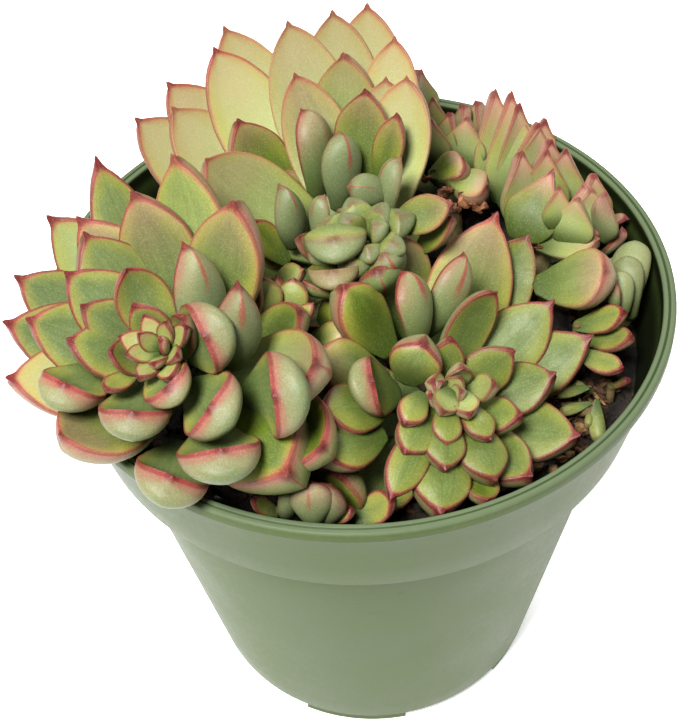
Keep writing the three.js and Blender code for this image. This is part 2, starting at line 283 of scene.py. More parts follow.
# %% The outline of the pot
RIM_RADIUS = 57
POT_HEIGHT = 98.6
WALL = 1.3
BAND_HEIGHT = 21
BAND_FOOT_RADIUS = 52.4
WALL_TOP_RADIUS = 48.9
BASE_RADIUS = 36.3
FOOT_HEIGHT = 2.3
FLOOR_THICKNESS = 1.6
LIP_WIDTH = 2.3
LIP_DROP = 2.6
LIP_OVERHANG = 0.9
FOOT_COUNT = 5
FOOT_ANGLE = 35
FIRST_FOOT_ANGLE = -100
FOOT_WIDTH = 2.9
FOOT_INSET = 0.5
FOOT_OVERLAP = 0.4
PAD_RADIUS = 11
SOIL_LEVEL = 84

band_foot = POT_HEIGHT - BAND_HEIGHT
under_lip = RIM_RADIUS - LIP_OVERHANG
lip_inner = RIM_RADIUS - LIP_WIDTH
floor_top = FOOT_HEIGHT + FLOOR_THICKNESS

pot_outline = [
    (0, FOOT_HEIGHT, 0),
    (BASE_RADIUS, FOOT_HEIGHT, 0.9),
    (WALL_TOP_RADIUS, band_foot, 0.35),
    (BAND_FOOT_RADIUS, band_foot, 0.55),
    (under_lip, POT_HEIGHT - LIP_DROP, 0.25),
    (RIM_RADIUS, POT_HEIGHT - LIP_DROP + 0.3, 0.3),
    (RIM_RADIUS, POT_HEIGHT - 0.1, 0.6),
    (RIM_RADIUS - 1.05, POT_HEIGHT, 0.25),
    (RIM_RADIUS - 1.25, POT_HEIGHT - 0.35, 0.12),
    (RIM_RADIUS - 1.5, POT_HEIGHT - 0.1, 0.15),
    (lip_inner, POT_HEIGHT - 0.15, 0.4),
    (under_lip - WALL - 0.3, POT_HEIGHT - LIP_DROP - 1, 0.8),
    (BAND_FOOT_RADIUS - WALL, band_foot + WALL + 0.6, 0.5),
    (WALL_TOP_RADIUS - WALL, band_foot - WALL, 0.5),
    (BASE_RADIUS - WALL - 0.6, floor_top, 0.5),
    (0, floor_top, 0),
]


def rounded(outline, steps=4):
    """The outline with each corner cut back to a small arc; the third number is its reach."""
    points = []
    for k, (x, y, reach) in enumerate(outline):
        corner = Vector((x, y))
        if reach == 0:
            points.append(corner)
            continue
        before = Vector(outline[k - 1][:2]) - corner
        after = Vector(outline[k + 1][:2]) - corner
        start = corner + before.normalized() * min(reach, before.length * 0.45)
        end = corner + after.normalized() * min(reach, after.length * 0.45)
        for step in range(steps + 1):
            t = step / steps
            points.append(start * (1 - t) ** 2 + corner * 2 * t * (1 - t) + end * t ** 2)
    return points


def subdivided(points, longest):
    """Adds points on long straight runs, so that shading stays even."""
    result = [points[0]]
    for point in points[1:]:
        gap = point - result[-1]
        count = max(1, math.ceil(gap.length / longest))
        origin = result[-1].copy()
        result.extend(origin + gap * (k / count) for k in range(1, count + 1))
    return result


def turned(points, segments):
    """A closed lathe form: points on the axis become single points."""
    verts, faces, rings = [], [], []
    for point in points:
        if point.x < 1e-6:
            rings.append([len(verts)])
            verts.append((0, 0, point.y * MM))
            continue
        ring = []
        for k in range(segments):
            angle = 2 * math.pi * k / segments
            ring.append(len(verts))
            verts.append((point.x * MM * math.cos(angle), point.x * MM * math.sin(angle), point.y * MM))
        rings.append(ring)
    for low, high in zip(rings, rings[1:]):
        for k in range(segments):
            n = (k + 1) % segments
            if len(low) == 1:
                faces.append((low[0], high[n], high[k]))
            elif len(high) == 1:
                faces.append((low[k], low[n], high[0]))
            else:
                faces.append((low[k], low[n], high[n], high[k]))
    return verts, faces


# %% Spin the pot and set its feet
pot_verts, pot_faces = turned(subdivided(rounded(pot_outline), 6), 160)


def foot_arc(inner, outer, top, start, end, steps=14, bevel=0.25):
    """A short bar bent along the foot ring, with its lower edges bevelled."""
    section = [(inner, top), (inner, bevel), (inner + bevel, 0), (outer - bevel, 0),
               (outer, bevel), (outer, top)]
    verts, faces = [], []
    for k in range(steps + 1):
        angle = start + (end - start) * k / steps
        for radius, height in section:
            verts.append((radius * MM * math.cos(angle), radius * MM * math.sin(angle), height * MM))
    sides = len(section)
    for k in range(steps):
        for j in range(sides):
            a, b = k * sides + j, k * sides + (j + 1) % sides
            faces.append((a, b, b + sides, a + sides))
    faces.append(tuple(range(sides - 1, -1, -1)))
    faces.append(tuple(steps * sides + j for j in range(sides)))
    return verts, faces


def append(verts, faces, more_verts, more_faces):
    start = len(verts)
    verts.extend(more_verts)
    faces.extend(tuple(start + k for k in face) for face in more_faces)


foot_outer = BASE_RADIUS - FOOT_INSET
for k in range(FOOT_COUNT):
    middle = math.radians(FIRST_FOOT_ANGLE + k * 360 / FOOT_COUNT)
    half_arc = math.radians(FOOT_ANGLE / 2)
    append(pot_verts, pot_faces, *foot_arc(foot_outer - FOOT_WIDTH, foot_outer, FOOT_HEIGHT + FOOT_OVERLAP,
                                           middle - half_arc, middle + half_arc))
pad = [Vector((0, 0)), Vector((PAD_RADIUS - 0.3, 0)), Vector((PAD_RADIUS, 0.3)),
       Vector((PAD_RADIUS, FOOT_HEIGHT + FOOT_OVERLAP)), Vector((0, FOOT_HEIGHT + FOOT_OVERLAP))]
append(pot_verts, pot_faces, *turned(pad, 48))
pot_mesh = bpy.data.meshes.new("pot_moulding")
pot_mesh.from_pydata(pot_verts, [], pot_faces)


def smooth_by_angle(mesh, degrees):
    """Smooth shading that keeps edges sharper than an angle."""
    mesh.polygons.foreach_set("use_smooth", [True] * len(mesh.polygons))
    mesh.set_sharp_from_angle(angle=math.radians(degrees))


smooth_by_angle(pot_mesh, 40)

# %% [markdown]
# Sage green polypropylene is satin, not glossy. Its colour has a faint cloudy mottle, the outside
# is a little rubbed and dusty, and fine scratches run round it. The top of the lip is painted paler,
# a painted highlight, and the groove in the lip and the inner wall are painted dark, as painted shade.

# %% The plastic
INNER_SLOPE = (lip_inner - BAND_FOOT_RADIUS + WALL) / BAND_HEIGHT
GROOVE_RADIUS = RIM_RADIUS - 1.25
INNER_RADIUS = BAND_FOOT_RADIUS - 0.6 - INNER_SLOPE * band_foot
plastic, tree, shader, place = new_material("sage_plastic", 0.5, 0.12)
cloud = noise_number(tree, place, 55, 3.0, 0.55).ramp(0.35, 0.7)
grain = noise_number(tree, place, 900, 2.0, 0.6)
speck = noise_number(tree, place, 420, 1.0, 0.5).ramp(0.70, 0.76)
base = blend_colour(tree, cloud, shade(55, 69, 27), shade(61, 75, 32))
base = blend_colour(tree, grain.ramp(0.4, 0.75) * 0.12, base, shade(96, 108, 72))
base = blend_colour(tree, speck * 0.3, base, shade(46, 56, 34))
spot = tree.nodes.new("ShaderNodeSeparateXYZ")
join(tree, place, spot.inputs[0])
radius = (Number(tree, spot.outputs["X"]) ** 2 + Number(tree, spot.outputs["Y"]) ** 2) ** 0.5
height = Number(tree, spot.outputs["Z"])
# Painted shade: the inner wall of the pot, from the band up to under the lip, is painted almost black green.
inside = (radius - height * INNER_SLOPE).ramp(INNER_RADIUS * MM, (INNER_RADIUS - 0.5) * MM)
inside = inside * height.ramp(band_foot * MM, (band_foot + 2) * MM)
base = blend_colour(tree, inside * height.ramp((POT_HEIGHT - 0.25) * MM, (POT_HEIGHT - 1) * MM), base, shade(14, 19, 6))
# Painted highlight: the top face of the lip is painted paler.
lip_top = height.ramp((POT_HEIGHT - 0.6) * MM, (POT_HEIGHT - 0.3) * MM)
base = blend_colour(tree, lip_top * 0.5, base, shade(88, 98, 80))
# Painted shade: a dark line is painted along the groove in the top of the lip.
groove = lip_top * (radius - GROOVE_RADIUS * MM).size().ramp(0.3 * MM, 0.1 * MM)
base = blend_colour(tree, groove * 0.8, base, shade(36, 52, 22))
join(tree, base, shader.inputs["Base Color"])
join(tree, cloud * 0.06 + grain.ramp(0.3, 0.7) * 0.06 + 0.4, shader.inputs["Roughness"])
add_bump(tree, shader, grain * 0.6 + cloud * 0.4, 0.2, 0.00008)
pot_piece = finish_piece(pot_mesh, "pot_moulding", ["pot"], plastic)

# %% [markdown]
# Potting mix fills the pot to a little below the rim. What shows is dark, damp crumbs with chips of
# bark among them, in the gaps between the rosettes and along the back.
# A disc of many small faces is pushed up and down by layered noise for the crumbs, and is closed
# below by the mass that fills the pot.

# %% The soil mass
SOIL_RINGS = 64
SOIL_SEGMENTS = 190
CRUMB_SHIFT = Vector((31.0, 17.0, 5.0))
WALL_GAP = 0.3


def inner_radius(height):
    """The radius of the inside of the pot at a height, in millimetres."""
    steps = [(floor_top, BASE_RADIUS - WALL - 0.6), (band_foot - WALL, WALL_TOP_RADIUS - WALL),
             (band_foot + WALL + 0.6, BAND_FOOT_RADIUS - WALL), (POT_HEIGHT - LIP_DROP - 1, under_lip - WALL)]
    for (z0, r0), (z1, r1) in zip(steps, steps[1:]):
        if height <= z1:
            return r0 + (r1 - r0) * (height - z0) / (z1 - z0)
    return steps[-1][1]


def soil_height(x, y):
    """The lumpy surface of the soil in millimetres, lower towards the wall."""
    radius = math.hypot(x, y)
    spot = Vector((x, y, 0))
    lumps = noise.fractal(spot * 0.16, 0.8, 2.1, 5) * 1.1
    crumbs = noise.cell(spot * 0.9 + Vector((noise.noise(spot * 1.7), noise.noise(spot * 1.9 + CRUMB_SHIFT), 0)))
    edge_dip = max(0.0, radius - 44) * 0.12
    return SOIL_LEVEL - 0.6 + lumps + 0.7 * (crumbs - 0.5) - edge_dip


top_radius = inner_radius(SOIL_LEVEL) - WALL_GAP
side = [(z, inner_radius(z) - WALL_GAP) for z in (floor_top + WALL_GAP, 40, band_foot - WALL, 80.5)]
soil_verts = [(0, 0, (floor_top + WALL_GAP) * MM)]
soil_rings = [[0]]
for z, radius in side:
    ring = []
    for k in range(SOIL_SEGMENTS):
        angle = 2 * math.pi * k / SOIL_SEGMENTS
        ring.append(len(soil_verts))
        soil_verts.append((radius * MM * math.cos(angle), radius * MM * math.sin(angle), z * MM))
    soil_rings.append(ring)
for j in range(SOIL_RINGS):
    radius = top_radius * (1 - j / SOIL_RINGS)
    ring = []
    for k in range(SOIL_SEGMENTS):
        angle = 2 * math.pi * (k + 0.5 * (j % 2)) / SOIL_SEGMENTS
        x, y = radius * math.cos(angle), radius * math.sin(angle)
        ring.append(len(soil_verts))
        soil_verts.append((x * MM, y * MM, soil_height(x, y) * MM))
    soil_rings.append(ring)
soil_rings.append([len(soil_verts)])
soil_verts.append((0, 0, soil_height(0, 0) * MM))
soil_faces = []
for low, high in zip(soil_rings, soil_rings[1:]):
    for k in range(SOIL_SEGMENTS):
        n = (k + 1) % SOIL_SEGMENTS
        if len(low) == 1:
            soil_faces.append((low[0], high[n], high[k]))
        elif len(high) == 1:
            soil_faces.append((low[k], low[n], high[0]))
        else:
            soil_faces.append((low[k], low[n], high[n], high[k]))
soil_mesh = bpy.data.meshes.new("potting_mix")
soil_mesh.from_pydata(soil_verts, [], soil_faces)
smooth_by_angle(soil_mesh, 35)

earth, tree, shader, place = new_material("damp_potting_mix", 0.9, 0.25)
clod = noise_number(tree, place, 260, 5.0, 0.65)
fibre = noise_number(tree, place, 900, 3.0, 0.6)
base = blend_colour(tree, clod.ramp(0.35, 0.7), shade(10, 8, 6), shade(40, 31, 22))
base = blend_colour(tree, fibre.ramp(0.62, 0.74) * 0.4, base, shade(96, 74, 52))
join(tree, base, shader.inputs["Base Color"])
add_bump(tree, shader, clod + fibre * 0.4, 0.9, 0.0006)
soil_piece = finish_piece(soil_mesh, "potting_mix", ["soil"], earth)

# %% [markdown]
# Every rosette follows one rule. Its leaves start at a short crown, and their tips lie on a shallow
# dome round the axis of the rosette. Young leaves near the heart stand up and are small. Old ones at
# the rim of the rosette lie out flat and are broad.
# The tips are listed one by one: each one is a point of the camera's picture, and the rule finds how
# deep that point lies. The rest of a leaf follows from its tip and the crown.

# %% The rosettes: hearts, tips and the tones of their leaves
# A tip may be followed by words that set it apart, such as "lime" or "rosy".
ROSETTES = {
    "head_left": dict(
        heart=(152, 344), height=120.5, lean=28, lean_to=-128, reach=34, sag=7, depth=9, slide=22,
        root=(-27, -10), leaf_width=14.5, under=(6, -20, 190), bud=(11, 6.8, "heart", "star"), slot="leaf_grey",
        tone=dict(yellow=0.15, pale=0.12, blush=0.75, line=1.0, keel=0.9),
        tips=[
            (131, 305, "fan"), (178, 318, "rosy"), (110, 350), (104, 386, "rosy", 0, (140, 368, 6)),
            (126, 268, "rosy", 25), (166, 386, "rosy", "moon", 0, (152, 360, 9)),
            (203, 338, "rosy", "moon", 40, (174, 352, 13)),
            (80, 304, "fan"), (66, 338, "fan"), (65, 382, "rosy", "moon", -30, (92, 366, 12)),
            (133, 411, "rosy", "moon", -35, (140, 380, 13)), (208, 407, "rosy", "moon", 0, (186, 384, 13)),
            (237, 279, "rosy", "lance", -125, (232, 366, 9)), (182, 241, "rosy", "lance", -125, (204, 340, 9)),
            (272, 397, "rosy", "moon", 35, (240, 396, 15)), (221, 447, "rosy", "moon", -35, (210, 418, 15)),
            (173, 475, "rosy", "moon", -45, 5, (184, 440, 14)), (131, 190, "peach", "fan"),
            (83, 231, "fan", "rosy", 30), (64, 271, "fan"), (25, 318, "fan"), (232, 200, "peach", "fan"),
            (314, 362, "lime", "peach", 0, 3), (288, 476, "olive", "spoon", 0, 5), (321, 447, "amber", 0, 6),
            (58, 435, "olive", "peach", "broad", 0, 2), (5, 377, "peach", "fan", "pale"), (2, 321, "fan"),
            (13, 275, "fan"), (46, 215, "fan", "pale"), (76, 216, "peach", "fan"),
            (95, 155, "rosy", "fan", "slim", 25), (171, 153, "lime", "fan"),
        ]),
    "head_front": dict(
        heart=(451, 392), height=107, lean=24, lean_to=-55, reach=32, sag=8, depth=9, slide=22,
        root=(14, -18), leaf_width=12.5, under=(3, 130, 260), bud=(5, 3.6, "heart", "calm"), slot="leaf_grey",
        tone=dict(yellow=0.62, pale=0.14, blush=0.4, line=1.1, keel=0.8),
        tips=[
            (494, 382, "heart", "calm", 0, -1, (460, 393, 5)), (464, 369, "heart", "calm", 0, -1, (455, 392, 5)),
            (434, 380, "heart", "calm", 0, -1, (450, 394, 5)), (471, 413, "heart", "calm", 0, -2, (457, 388, 5)),
            (444, 411, "heart", "calm", 0, -2, (451, 388, 5)), (424, 344, "rosy", "spoon", "wide", 0, -3, (404, 385, 7)), (453, 337, "fan"),
            (447, 446, "spoon", 0, (447, 402, 4)), (492, 440, "spoon", 0, (462, 402, 4)),
            (404, 424, "rosy", "spoon", 0, -2, (424, 392, 5)), (516, 350, "fan", 20),
            (404, 454, "spoon", 0, (434, 405, 6)), (374, 380, "rosy", "moon", -5, (402, 392, 11)),
            (523, 414, "fan"), (446, 471, "spoon", 0, (443, 410, 6)), (497, 482, "spoon", 0, (464, 415, 7)),
            (557, 372, "fan"), (498, 291, "slim", 35), (399, 270, "rosy", "lance", "keeled", -150, -3, (414, 350, 4)),
            (464, 251, "rosy", "lance", "keeled", "slim", -150, -4, (418, 340, 4)), (324, 411, "spoon", 0, (390, 404, 10)),
            (320, 452, "spoon", 0, (386, 430, 10)), (315, 356, "peach", "spoon", 0, 3, (392, 384, 9)),
            (343, 284, "amber", "spoon", 0, 1, (394, 354, 8)), (441, 515, "spoon", 0, (442, 430, 9)),
            (533, 476, "fan"), (581, 435, "fan"), (594, 334, "fan"), (555, 299, "fan"),
            (498, 211, "peach", "fan", "broad", 0, 4), (392, 233, "peach", "fan", "broad", 0, (420, 340, 8)),
            (390, 500, "spoon", "slim", 0, (432, 415, 7)), (488, 500, "olive", 0, (470, 440, 9)), (530, 234, "olive", 0, 7),
            (605, 268, "plump", "broad", "smooth", 0, (532, 284, 9)),
            (624, 309, "held", "rosy", "fan", 0, (572, 326, 7)), (632, 334, "held", "rosy", "fan", 0, (580, 336, 8)),
            (624, 367, "rosy", "fan", 0, (576, 350, 5)),
        ]),
    "head_back": dict(
        heart=(364, 231), height=114, lean=20, lean_to=-115, reach=46, sag=2, depth=9, slide=26,
        root=(-4, 16), leaf_width=16, under=(6, 85, 205), skirt=(6, 40, 230), bud=(10, 7.2, "heart", "bluish"), slot="leaf_pale",
        tone=dict(yellow=0.7, pale=1.0, blush=0.6, line=0.3, keel=0.35, glow=0.3),
        tips=[
            (383, 252, "blue"), (376, 268, "blue", "olive"), (333, 238, "blue", "moon", "matt", 0, -5, (339, 216, 12)),
            (331, 269, "olive", "moon", "matt", 0, -2, (338, 250, 10)), (452, 216, "olive", "leaf", 0, 4, (416, 252, 8)),
            (325, 194, "blue", "shell", 150, (322, 245, 6)), (308, 250, "blue", "shell", 60, (352, 262, 6)),
            (346, 187, "blue", "shell", 150, (396, 196, 7)), (402, 157, "blue", "shell", 140, (390, 225, 8)),
            (303, 280, "blue", "olive", "shell", 40, (350, 290, 6)), (278, 183, "held", "blue", "lance", -130, (293, 248, 7)),
            (338, 130, "held", "blue", "shell", -125, (336, 210, 8)),
            (453, 203, "amber", "olive", "leaf", 20, (388, 228, 6)),
            (365, 88, "olive", "leaf", 0, -2, (358, 195, 8)),
            (300, 108, "olive", "shell", -115, (312, 202, 9)), (237, 118, "olive", "leaf", 20, (298, 225, 9)),
            (343, 52, "lime", "leaf", 0, (346, 180, 10)), (397, 112, "amber", "leaf", "slim", 0, (378, 190, 8)),
            (294, 72, "lime", "slim"), (386, 76, "slim", 0, 3), (171, 106), (213, 46, "peach"), (287, 20), (367, 2),
            (407, 75, "slim"), (395, 35, "slim"), (332, 9), (223, 25, 0, 4), (166, 81, "peach"),
            (134, 117, "peach"), (205, 158, "lime", 0, -3),
            (298, 236, "olive", "leaf", 0, (328, 262, 7)),
        ]),
    "head_right": dict(
        heart=(552, 172), height=108, lean=6, lean_to=45, reach=22, sag=3, depth=16, slide=12,
        root=(35, 8), leaf_width=9.5, under=(4, 0, 360), slot="leaf_rosy",
        tone=dict(yellow=0.35, pale=0.95, blush=0.7, line=0.5, keel=0.5, glow=0.95),
        tips=[
            (496, 88, "spire", 0, (508, 205, 8)), (512, 90, "spire", "broad", 0, (518, 216, 8)),
            (520, 102, "spire", 0, (526, 216, 10)), (546, 118, "spire", 0, (538, 212, 11)),
            (539, 122, "spire", 0, (532, 210, 10)), (552, 139, "spire", 0, (545, 214, 10)),
            (567, 148, "spire", 0, (556, 218, 10)), (523, 150, "spire", 25, (523, 230, 6)),
            (548, 149, "spire", 0, (540, 224, 8)), (584, 182, "spire", 0, (572, 226, 8)),
            (554, 168, "spire", "broad", "deep", 10, (519, 244, 5)), (577, 197, "spire", "wide", "ghost", 0, (566, 246, 6)),
            (560, 186, "spire", 0, (556, 230, 5)), (596, 173, "spire", 0, (591, 236, 8)),
            (593, 188, "spire", "wide", "ghost", 0, (584, 244, 8)), (606, 190, "spire", 0, (600, 240, 9)),
        ]),
    "head_back_right": dict(
        heart=(447, 125), height=105, lean=6, lean_to=90, reach=15, sag=2, depth=10, slide=6,
        root=(20, 26), leaf_width=11, under=(3, 0, 360), slot="leaf_rosy",
        tone=dict(yellow=0.5, pale=0.85, blush=0.7, line=0.6, keel=0.5, glow=0.7),
        tips=[
            (422, 69, "lime", "spire", "broad", 0, (430, 135, 9)), (433, 97, "spire", 0, (434, 152, 7)),
            (430, 117, "spire", "wide", 0, (428, 166, 5)), (467, 116, "spire", "wide", 0, (460, 170, 5)),
            (475, 100, "spire", 0, (462, 158, 8)), (461, 103, "spire", 0, (452, 158, 8)),
            (498, 112, "spire", "broad", 0, (474, 172, 7)), (448, 112, "spire", 0, (445, 160, 7)),
            (463, 157, "held", "amber", "round", 0, -4, (428, 176, 1)),
            (488, 184, "lime", "round", 0, -6, (447, 174, 1)), (404, 88, "spire", 0, (418, 150, 9)),
        ]),
    "head_far_right": dict(
        heart=(604, 240), height=100, lean=12, lean_to=20, reach=10, sag=1, depth=10, slide=4,
        root=(43, -1), leaf_width=8, under=(0, 0, 360), slot="leaf_rosy",
        tone=dict(yellow=0.3, pale=0.5, blush=1.0, line=0.8, keel=0.6, glow=0.6),
        tips=[
            (600, 238, "fan", "broad", "ghost", 20, (534, 243, 5)), (630, 219, "rosy", "fan", 150, (594, 252, 6)),
            (622, 226, "rosy", "fan", 0, (592, 256, 7)), (619, 257, "rosy", "fan", 0, (590, 268, 5)),
            (598, 225, "fan", 0, (566, 244, 7)),
        ]),
    "head_middle": dict(
        heart=(280, 288), height=106, lean=20, lean_to=-90, reach=11, sag=1, depth=9, slide=10,
        root=(-13, -9), leaf_width=6.5, under=(0, 0, 360), slot="leaf_olive",
        tone=dict(yellow=0.6, pale=0.45, blush=0.8, line=0.8, keel=0.9),
        tips=[
            (254, 220, "olive", "fan", 0, (290, 264, 6)), (304, 269, "held", "lime", "spoon", 0, -2, (271, 284, 3)),
            (263, 277, "lime", "spoon", "plain", 0, -10, (269, 322, 3)), (278, 275, "rosy", "spoon", "slim", 0, -8, (274, 320, 4)),
            (293, 278, "lime", "spoon", "plain", 0, -8, (290, 322, 3)), (314, 302, "rosy", "spoon", "slim", 0, -8, (287, 333, 3)),
            (346, 329, "peach", "spoon", 0, -3, (303, 345, 4)), (336, 300, "amber", "spoon", 0, (318, 324, 4)),
            (257, 300, "held", "spoon", 0, -3, (276, 326, 3)),
        ]),
    "head_rim": dict(
        heart=(622, 278), height=97, lean=14, lean_to=170, reach=7, sag=0, depth=9, slide=7,
        root=(43, -10), leaf_width=11, under=(0, 0, 360), slot="leaf_bud",
        tone=dict(yellow=0.1, pale=0.75, blush=0.1, line=0.0, keel=0.0),
        tips=[
            (642, 243, "crescent", 165, 0, (647, 321, 2)), (631, 256, "crescent", 165, -2, (637, 318, 2)),
            (621, 270, "crescent", 165, -4, (627, 313, 2)), (612, 280, "crescent", "peach", 150, -5, (618, 310, 2)),
        ]),
    "head_low": dict(
        heart=(312, 492), height=96, lean=20, lean_to=-95, reach=9, sag=2, depth=7, slide=9,
        root=(-8, -38), leaf_width=8, under=(0, 0, 360), slot="leaf_bud",
        tone=dict(yellow=0.1, pale=0.4, blush=0.6, line=0.7, keel=0.6),
        tips=[
            (283, 470, "blue", "lance", -120, -6, (286, 516, 7)), (254, 499, "held", "rosy", "fan", 0, (281, 514, 4)),
            (311, 480, "blue", "ball", 175, -4, (315, 523, 4)), (331, 483, "rosy", "ball", 165, -2, (325, 522, 5)),
            (352, 509, "rosy", "spoon", 0, (330, 519, 3)), (391, 498, "rosy", "fan", "broad", 0, (352, 519, 4)),
            (340, 478, "olive", "fan", "wide", 0, (334, 510, 9)),
        ]),
    "head_seedling": dict(
        heart=(583, 402), height=88.6, lean=10, lean_to=-60, reach=7, sag=0, depth=3.5, slide=4,
        root=(35, -23), leaf_width=4.5, under=(0, 0, 360), slot="leaf_bud",
        tone=dict(yellow=0.1, pale=0.6, blush=0.1, line=0.0, keel=0.0),
        tips=[
            (553, 392, "capsule", 0, (590, 387, 1)), (560, 411, "capsule", 0, (592, 402, 1)),
            (599, 441, "capsule", 0, (597, 398, 2)), (628, 378, "held", "capsule", "rosy", 0, (606, 388, 2)),
            (576, 382, "capsule", 0, (594, 392, 2)), (588, 426, "held", "capsule", 0, (592, 406, 2)),
        ]),
}

# What each word does to the tone or the form of its leaf
WORDS = {
    "held": dict(),
    "rosy": dict(blush=1.0, keel=1.0, pale=0.3, line=1.0),
    "peach": dict(blush=1.0, yellow=0.7, line=0.7, glow=0.35),
    "lime": dict(yellow=1.0, pale=0.6, blush=0.7, line=0.4),
    "olive": dict(yellow=0.9, pale=0.0, line=0.8),
    "amber": dict(yellow=1.0, blush=1.0, pale=0.0, line=0.9),
    "pale": dict(pale=0.8),
    "blue": dict(glow=0, yellow=0.2, pale=0.4, blush=0.15, line=0.3, keel=0.9, stub=0.55, broad=1.15, belly=0.4,
                 hollow=-0.14, curl=-10),
    "young": dict(yellow=0.85, pale=0.75, blush=0.3, line=0.9, keel=0.5),
    "heart": dict(glow=0.35, pale=0.8, blush=0.25, line=1.1, yellow=0.35, broad=1.4, curl=6, point=0.8, belly=0.1),
    "shaded": dict(yellow=0.7, pale=0.1),
    "calm": dict(line=0.75, blush=0.3, glow=0.15, plump=1.05, broad=1.55, point=1.3, curl=-6, keel=0.3),
    "bluish": dict(yellow=0.25, pale=0.3, blush=0.05, line=0.12, glow=0.0, keel=0.2, point=0.7, plump=1.5, belly=0.6,
                   broad=1.7, hollow=-0.06, curl=14),
    "moon": dict(keel=0.1, curl=16, point=0.05, belly=0.9, plump=1.05, stub=0.28, broad=1.6),
    "tuck": dict(blush=0.35, keel=0.5, curl=20, point=0.7, belly=0.5, plump=1.05, stub=0.2, broad=1.25),
    "shell": dict(curl=0, point=0.6, belly=0.1, hollow=0.0, broad=1.0),
    "lance": dict(curl=0, point=1.5, belly=0.05, hollow=0.0, broad=1.05),
    "smooth": dict(line=0.5, keel=0.0, glow=0.45, blush=0.7, pale=0.45, point=0.35, broad=1.55, hollow=-0.05),
    "leaf": dict(curl=-40, point=1.2, broad=1.05),
    "spire": dict(curl=-38, point=2.0, broad=1.3, stub=0, plump=0.8),
    "deep": dict(pale=0.2, yellow=0.6),
    "spoon": dict(curl=-38, point=1.1, broad=1.25, plump=1.2, hollow=-0.1),
    "wide": dict(broad=1.75),
    "star": dict(point=1.4, broad=1.2, curl=-4, blush=0.6),
    "keeled": dict(yellow=0.7, broad=1.25, point=0.9, plump=0.8),
    "matt": dict(line=0.25, blush=0.06, keel=0.1),
    "plain": dict(line=0.7, blush=0.5, broad=1.45),
    "ball": dict(curl=0, point=0.5, belly=0.5, hollow=0.0, broad=1.7, plump=1.2, blush=1.0, line=1.0, keel=1.0,
                 glow=0.35),
    "ghost": dict(pale=1.0, glow=0.6, line=0.35, blush=0.3),
    "round": dict(curl=-10, point=0.15, broad=2.4, belly=0.4, hollow=-0.08),
    "crescent": dict(curl=20, point=0.2, belly=0.2, hollow=-0.1, broad=1.1),
    "capsule": dict(pale=0.4, yellow=0.0, curl=-20, point=0.0, belly=0.6, hollow=-0.35, broad=0.72, plump=1.4),
    "fan": dict(curl=-10, point=1.1, broad=0.98, hollow=-0.02),
    "slim": dict(broad=0.8),
    "broad": dict(broad=1.3),
    "plump": dict(hollow=-0.18, point=0.3),
}
FORM = dict(curl=0, point=0.6, broad=1.0, hollow=0.10, belly=0.2, plump=1.0, stub=0.0, glow=0.0)


# %% [markdown]
# The same rule in code. A tip starts on its line of sight and slides along it until it lies on the
# dome. Leaves further out start lower on the stem and bend more on their way up.

# %% From a heart to its leaves
LONG_SHARE = 0.52
PLUMPNESS = 0.38
LEAST_THICKNESS = 0.8
HEART_CURL, OUTER_CURL = 12, 42
ROLL_SPREAD = 10
BASE_START, BASE_GROWTH = 0.4, 0.8
STUB_DROP = 7
FOOT_LIMIT = 50.5
GOLDEN_ANGLE = math.radians(137.5)
BUD_RISE = 1.5
BUD_DEPTH = 4
DESCENT_SHARE, DESCENT_POWER = 0.42, 1.3
UNDER_REACH, UNDER_DROP, UNDER_WIDTH = 0.6, 9, 0.9
SKIRT_REACH, SKIRT_DROP = 0.36, 15


class Dice:
    """A small seeded draw, the same on every run."""
    value = 7

    @classmethod
    def draw(cls):
        cls.value = cls.value * 48271 % 2147483647
        return cls.value / 2147483647


def sight_line(x, y):
    """The direction from the eye through a point of the picture."""
    return -back + across * ((x - VIEW_WIDTH / 2) / FOCAL) - upright * ((y - VIEW_HEIGHT / 2) / FOCAL)


